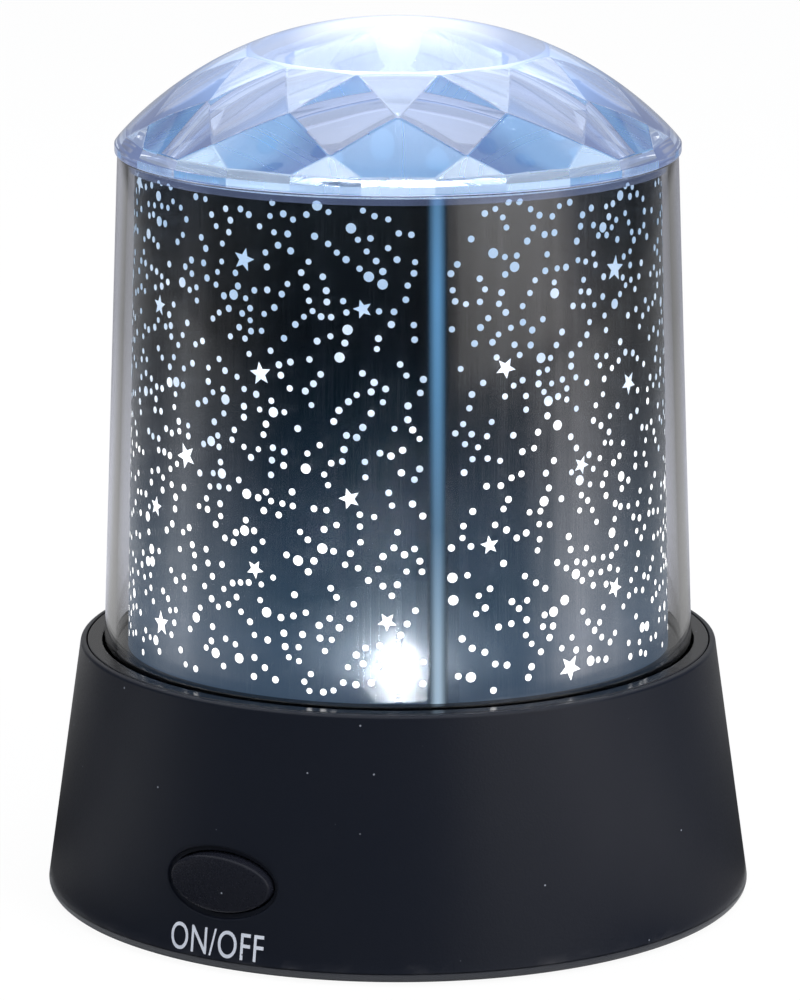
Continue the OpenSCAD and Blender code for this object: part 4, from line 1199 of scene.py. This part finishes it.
class STARLIGHT_OT_inner(bpy.types.Operator):
    """Give the plate, door, cells, contacts, boards, screws, wires and lamp their finishes"""

    bl_idname = "starlight.inner"
    bl_label = "Inner parts"

    def execute(self, context):
        plate = moulded(
            "plate_black", (0.014, 0.014, 0.019), (0.06, 0.06, 0.07), roughness=0.5, grain=0.5 * MM,
            depth=0.04 * MM, spread=0.15, wear=0.0, dust=0.08,
        )
        rubber = moulded(
            "foot_rubber", (0.030, 0.030, 0.032), (0.06, 0.06, 0.06), roughness=0.8, grain=0.3 * MM,
            depth=0.06 * MM, spread=0.1, wear=0.0, dust=0.15, Specular_IOR_Level=0.3,
        )
        white = moulded(
            "white_plastic", (0.72, 0.72, 0.70), (0.8, 0.8, 0.8), wear=0.0, dust_colour=(0.35, 0.34, 0.32)
        )
        dark = moulded(
            "switch_black", (0.022, 0.022, 0.025), (0.05, 0.05, 0.05), roughness=0.45, grain=0.3 * MM,
            wear=0.0,
        )
        steel = metal("screw_steel", (0.66, 0.67, 0.69), (0.42, 0.43, 0.46), 0.3)
        nickel = metal("contact_nickel", (0.74, 0.72, 0.68), (0.55, 0.53, 0.50), 0.25, 250.0)
        board = circuit_board("board_green", (0.015, 0.10, 0.045), (0.62, 0.55, 0.38))
        resistor = resistor_paint()
        outer_can = cell_can("cell_can_right", (0.0, "tin"), (0.19, "copper"), (0.40, "black"), (0.80, "tin"))
        middle_can = cell_can("cell_can_left", (0.0, "tin"), (0.20, "black"), (0.60, "copper"), (0.81, "tin"))
        red = moulded("wire_red", (0.45, 0.015, 0.02), (0.5, 0.1, 0.1), wear=0.0)
        grey = moulded(
            "wire_white", (0.62, 0.62, 0.60), (0.7, 0.7, 0.7), wear=0.0, dust_colour=(0.3, 0.3, 0.3)
        )
        black = moulded("wire_black", (0.012, 0.012, 0.013), (0.05, 0.05, 0.05), wear=0.0)
        dressed = (
            (plate, "base_plate", "battery_door"),
            (rubber, "rubber_feet"),
            (white, "switch_plunger"),
            (dark, "switch_body", "lamp_collar"),
            (steel, "door_screw", "case_screws", "switch_board_screws", "lamp_board_screws"),
            (nickel, "contact_springs", "contact_plates"),
            (board, "switch_board", "lamp_board"),
            (resistor, "series_resistor"),
            (outer_can, "battery_cell_left", "battery_cell_right"),
            (middle_can, "battery_cell_middle"),
            (red, "wire_positive"),
            (grey, "wire_switched"),
            (black, "wire_negative"),
            (lamp_lens(), "led_lamp"),
        )
        for m, *names in dressed:
            for name in names:
                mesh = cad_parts[name].data
                mesh.materials.clear()
                mesh.materials.append(m)
        return {"FINISHED"}


# ---------------------------------------------------------------- studio


def light(name, kind, place, power, tint):
    """A light that no polished surface mirrors."""
    data = bpy.data.lights.new(name, kind)
    data.energy, data.color = power, tint
    thing = bpy.data.objects.new(name, data)
    bpy.context.scene.collection.objects.link(thing)
    thing.location = place
    thing.visible_glossy = False
    return thing


def soft_panel(name, place, target, size, power, tint=(1, 1, 1)):
    """Square or oblong studio light, turned so that it faces its target."""
    thing = light(name, "AREA", place, power, tint)
    thing.data.shape = "RECTANGLE"
    thing.data.size, thing.data.size_y = size
    way = np.array(target) - np.array(place)
    from_z = math.acos(-way[2] / np.linalg.norm(way))
    thing.rotation_euler = (from_z, 0, math.atan2(way[1], way[0]) + FRONT)
    thing.visible_transmission = False


def lamp_glow(name, radius, level):
    """Soft ball of light round the lamp's lens, which shows only through the film. Its power is the
    level times (2 pi x radius)^2, so that a ball of any size is as bright to look at."""
    thing = light("glow_" + name, "POINT", (0, 0, 31.5 * MM), level * (TURN * radius) ** 2, (0.80, 0.91, 1.0))
    thing.data.shadow_soft_size = radius
    thing.visible_camera = thing.visible_diffuse = False


def seen_directly(tree):
    """1 for a ray from the camera, also through clear pieces, and 0 for reflected light."""
    path = add(tree, "ShaderNodeLightPath").outputs
    return calc(tree, "MAXIMUM", path["Is Camera Ray"], path["Is Transmission Ray"])


# tones that round walls mirror: (degrees from the bands' centre, tone), low down and high up
DARK = (0.004, 0.009, 0.014)
NEAR_BANDS = [
    (-180, (0.52, 0.53, 0.59)), (-156, (0.55, 0.56, 0.62)), (-147, 0.34), (-120, 0.12), (-108, 0.12),
    (-94, 0.40), (-86, 0.40), (-78, 0.27), (-66, 0.12), (-50, (0.02, 0.025, 0.03)), (-40, DARK), (49, DARK),
    (56, 0.20), (65, (0.56, 0.54, 0.53)), (84, (0.52, 0.50, 0.49)), (97, 0.21), (106, 0.15), (130, 0.17),
    (150, 0.32), (160, (0.46, 0.47, 0.53)), (180, (0.50, 0.51, 0.57)),
]
FAR_BANDS = [
    (-180, 0.46), (-158, 0.44), (-147, 0.12), (-120, (0.03, 0.035, 0.05)), (-95, (0.015, 0.02, 0.03)),
    (-80, DARK), (19, DARK), (25, (0.66, 0.64, 0.62)), (41, (0.72, 0.70, 0.68)), (66, (0.92, 0.89, 0.88)),
    (71, (0.50, 0.48, 0.48)), (77, (0.06, 0.065, 0.08)), (105, (0.01, 0.015, 0.02)),
    (128, (0.05, 0.055, 0.07)), (148, 0.36), (180, 0.46),
]


def reflector():
    """A bowl round the object, seen only in reflections: a flat ring and a wall whose tone follows the
    angle round the axis, so that round walls show soft upright bands. The lower part of a wall shows
    the near bands and its upper part the far ones, and the border between them leans."""
    # (radius, height) in metres, from just outside the housing's rim
    profile = np.array([(0.0535, 0.0015), (0.3, 0.0015), (1.25, 0.0015), (1.3, 0.05), (1.3, 0.9)])
    v, q = lathe(profile, 96, closed=False)
    mesh = bpy.data.meshes.new("reflector")
    mesh.from_pydata(v.tolist(), [], q)
    m, t, s = material("reflector", Base_Color=(0, 0, 0), Roughness=1.0, Specular_IOR_Level=0.0)
    x, y, _ = axes(t)
    # angle from the front, -Y, towards +X, less the 30 degrees at which the bands are centred
    c, w = math.cos(math.radians(30)), math.sin(math.radians(30))
    side = calc(t, "MULTIPLY_ADD", y, w, calc(t, "MULTIPLY", x, c))
    deep = calc(t, "MULTIPLY_ADD", y, -c, calc(t, "MULTIPLY", x, w))
    turn = calc(t, "ARCTAN2", side, deep)
    reach = measure(t, "LENGTH", object_point(t))
    # the border leans: it lies further out, the further round it is from the bands' centre
    border = calc(t, "MULTIPLY_ADD", calc(t, "ABSOLUTE", turn), -0.057, reach)
    far = remap(t, border, 0.56, 0.68)
    place = remap(t, turn, -math.pi, math.pi)
    near_tone, far_tone = (
        ramp(t, place, [((a + 180) / 360, tone) for a, tone in bands]) for bands in (NEAR_BANDS, FAR_BANDS)
    )
    # a dark line runs along the border, and the tones sink near the object and far from it
    line = ramp(t, far, [(0.0, 1.0), (0.12, 0.9), (0.35, 0.3), (0.55, 0.6), (0.8, 1.0)])
    sink = ramp(t, remap(t, reach, 0.0, 0.6), [
        (0.09, 0.25), (0.12, 0.35), (0.25, 0.72), (0.35, 1.0), (0.43, 1.0), (0.60, 0.83), (0.83, 0.62)
    ])
    tone = scaled(t, blend(t, far, near_tone, far_tone), calc(t, "MULTIPLY", line, sink))
    feed(t, s, {"Emission Color": tone, "Emission Strength": 1.2})
    mesh.materials.append(m)
    thing = bpy.data.objects.new("reflector", mesh)
    bpy.context.scene.collection.objects.link(thing)
    for ray in ("camera", "shadow", "diffuse", "volume_scatter"):
        setattr(thing, "visible_" + ray, False)


def white_floor():
    """Pale floor that the camera sees as white, thinned where the object's shadow falls."""
    mesh = bpy.data.meshes.new("floor")
    mesh.from_pydata([(-4, -4, 0), (4, -4, 0), (4, 4, 0), (-4, 4, 0)], [], [[0, 1, 2, 3]])
    m, t, s = material("floor", Base_Color=tuple(finish().floor_colour), Roughness=0.9)
    white = add(t, "ShaderNodeEmission", {0: (1, 1, 1), 1: 1.02})
    share = calc(t, "MULTIPLY", seen_directly(t), 0.92)
    mix = add(t, "ShaderNodeMixShader", {0: share, 1: s.outputs[0], 2: white.outputs[0]})
    feed(t, t.nodes["Material Output"], {"Surface": mix.outputs[0]})
    mesh.materials.append(m)
    floor = bpy.data.objects.new("floor", mesh)
    bpy.context.scene.collection.objects.link(floor)


def white_world(scene):
    """Soft bluish light from all round, which the camera sees as plain white."""
    world = bpy.data.worlds.new("studio")
    scene.world = world
    world.use_nodes = True
    t = world.node_tree
    t.nodes.clear()
    soft = add(t, "ShaderNodeBackground", {0: (0.92, 0.95, 1.0), 1: 0.55})
    white = add(t, "ShaderNodeBackground", {0: (1, 1, 1), 1: 1.0})
    mix = add(t, "ShaderNodeMixShader", {0: seen_directly(t), 1: soft.outputs[0], 2: white.outputs[0]})
    add(t, "ShaderNodeOutputWorld", {0: mix.outputs[0]})


def long_camera(scene):
    """Camera with a long lens, 30 degrees to the right of the front and a little above the dome."""
    data = bpy.data.cameras.new("camera")
    data.lens, data.sensor_width = 193.9, 36.0
    data.shift_x = 0.002
    data.clip_start, data.clip_end = 0.01, 50
    data.dof.use_dof = False
    cam = bpy.data.objects.new("camera", data)
    scene.collection.objects.link(cam)
    cam.location = (0.38849, -0.67289, 0.2350)
    cam.rotation_euler = (math.radians(77.203), 0, math.radians(30))
    scene.camera = cam


class STARLIGHT_OT_studio(bpy.types.Operator):
    """Set up the pale floor, soft light, reflection bowl and camera"""

    bl_idname = "starlight.studio"
    bl_label = "Studio"

    def execute(self, context):
        scene = context.scene
        white_floor()
        white_world(scene)
        soft_panel("key_light", (0.9, -0.25, 0.75), (0, 0, 0.06), (0.5, 0.7), 9.0)
        soft_panel("fill_light", (-0.9, -0.6, 0.7), (0, 0, 0.06), (0.6, 0.6), 3.5, (0.9, 0.95, 1.0))
        soft_panel("top_light", (0.0, 0.1, 1.1), (0, 0, 0.1), (0.6, 0.6), 5.0)
        for name, radius, level in (
            ("core", 3.4, 80), ("bright", 4.2, 80), ("ring", 4.8, 80),
            ("halo", 6.8, 34), ("haze", 10.0, 16), ("edge", 16.0, 6),
        ):
            lamp_glow(name, radius * MM, level)
        reflector()
        long_camera(scene)
        scene.view_settings.view_transform = "Standard"
        # the lamp stays white when it is seen through the film
        scene.cycles.sample_clamp_indirect = 80.0
        return {"FINISHED"}


class STARLIGHT_PT_panel(bpy.types.Panel):
    """Sidebar list of the night light's makers"""

    bl_idname = "STARLIGHT_PT_panel"
    bl_label = "Star night light"
    bl_space_type = "VIEW_3D"
    bl_region_type = "UI"
    bl_category = "Star Light"

    def draw(self, context):
        for settings in (sizes(), finish()):
            box = self.layout.box()
            for key in settings.__annotations__:
                box.prop(settings, key)
        for maker in MAKERS:
            self.layout.operator(maker.bl_idname)


MAKERS = (
    STARLIGHT_OT_studio, STARLIGHT_OT_inner, STARLIGHT_OT_housing, STARLIGHT_OT_button,
    STARLIGHT_OT_deck, STARLIGHT_OT_film, STARLIGHT_OT_drum, STARLIGHT_OT_dome,
)
CLASSES = (StarLightSizes, StarLightFinish, *MAKERS, STARLIGHT_PT_panel)


def register():
    for c in CLASSES:
        bpy.utils.register_class(c)
    bpy.types.Scene.star_light_sizes = bpy.props.PointerProperty(type=StarLightSizes)
    bpy.types.Scene.star_light_finish = bpy.props.PointerProperty(type=StarLightFinish)


def unregister():
    del bpy.types.Scene.star_light_finish
    del bpy.types.Scene.star_light_sizes
    for c in reversed(CLASSES):
        bpy.utils.unregister_class(c)


def main():
    register()
    bpy.ops.starlight.studio()
    bpy.ops.starlight.inner()
    bpy.ops.starlight.housing()
    bpy.ops.starlight.button()
    bpy.ops.starlight.deck()
    bpy.ops.starlight.film()
    bpy.ops.starlight.drum()
    bpy.ops.starlight.dome()


if __name__ == "__main__":
    main()
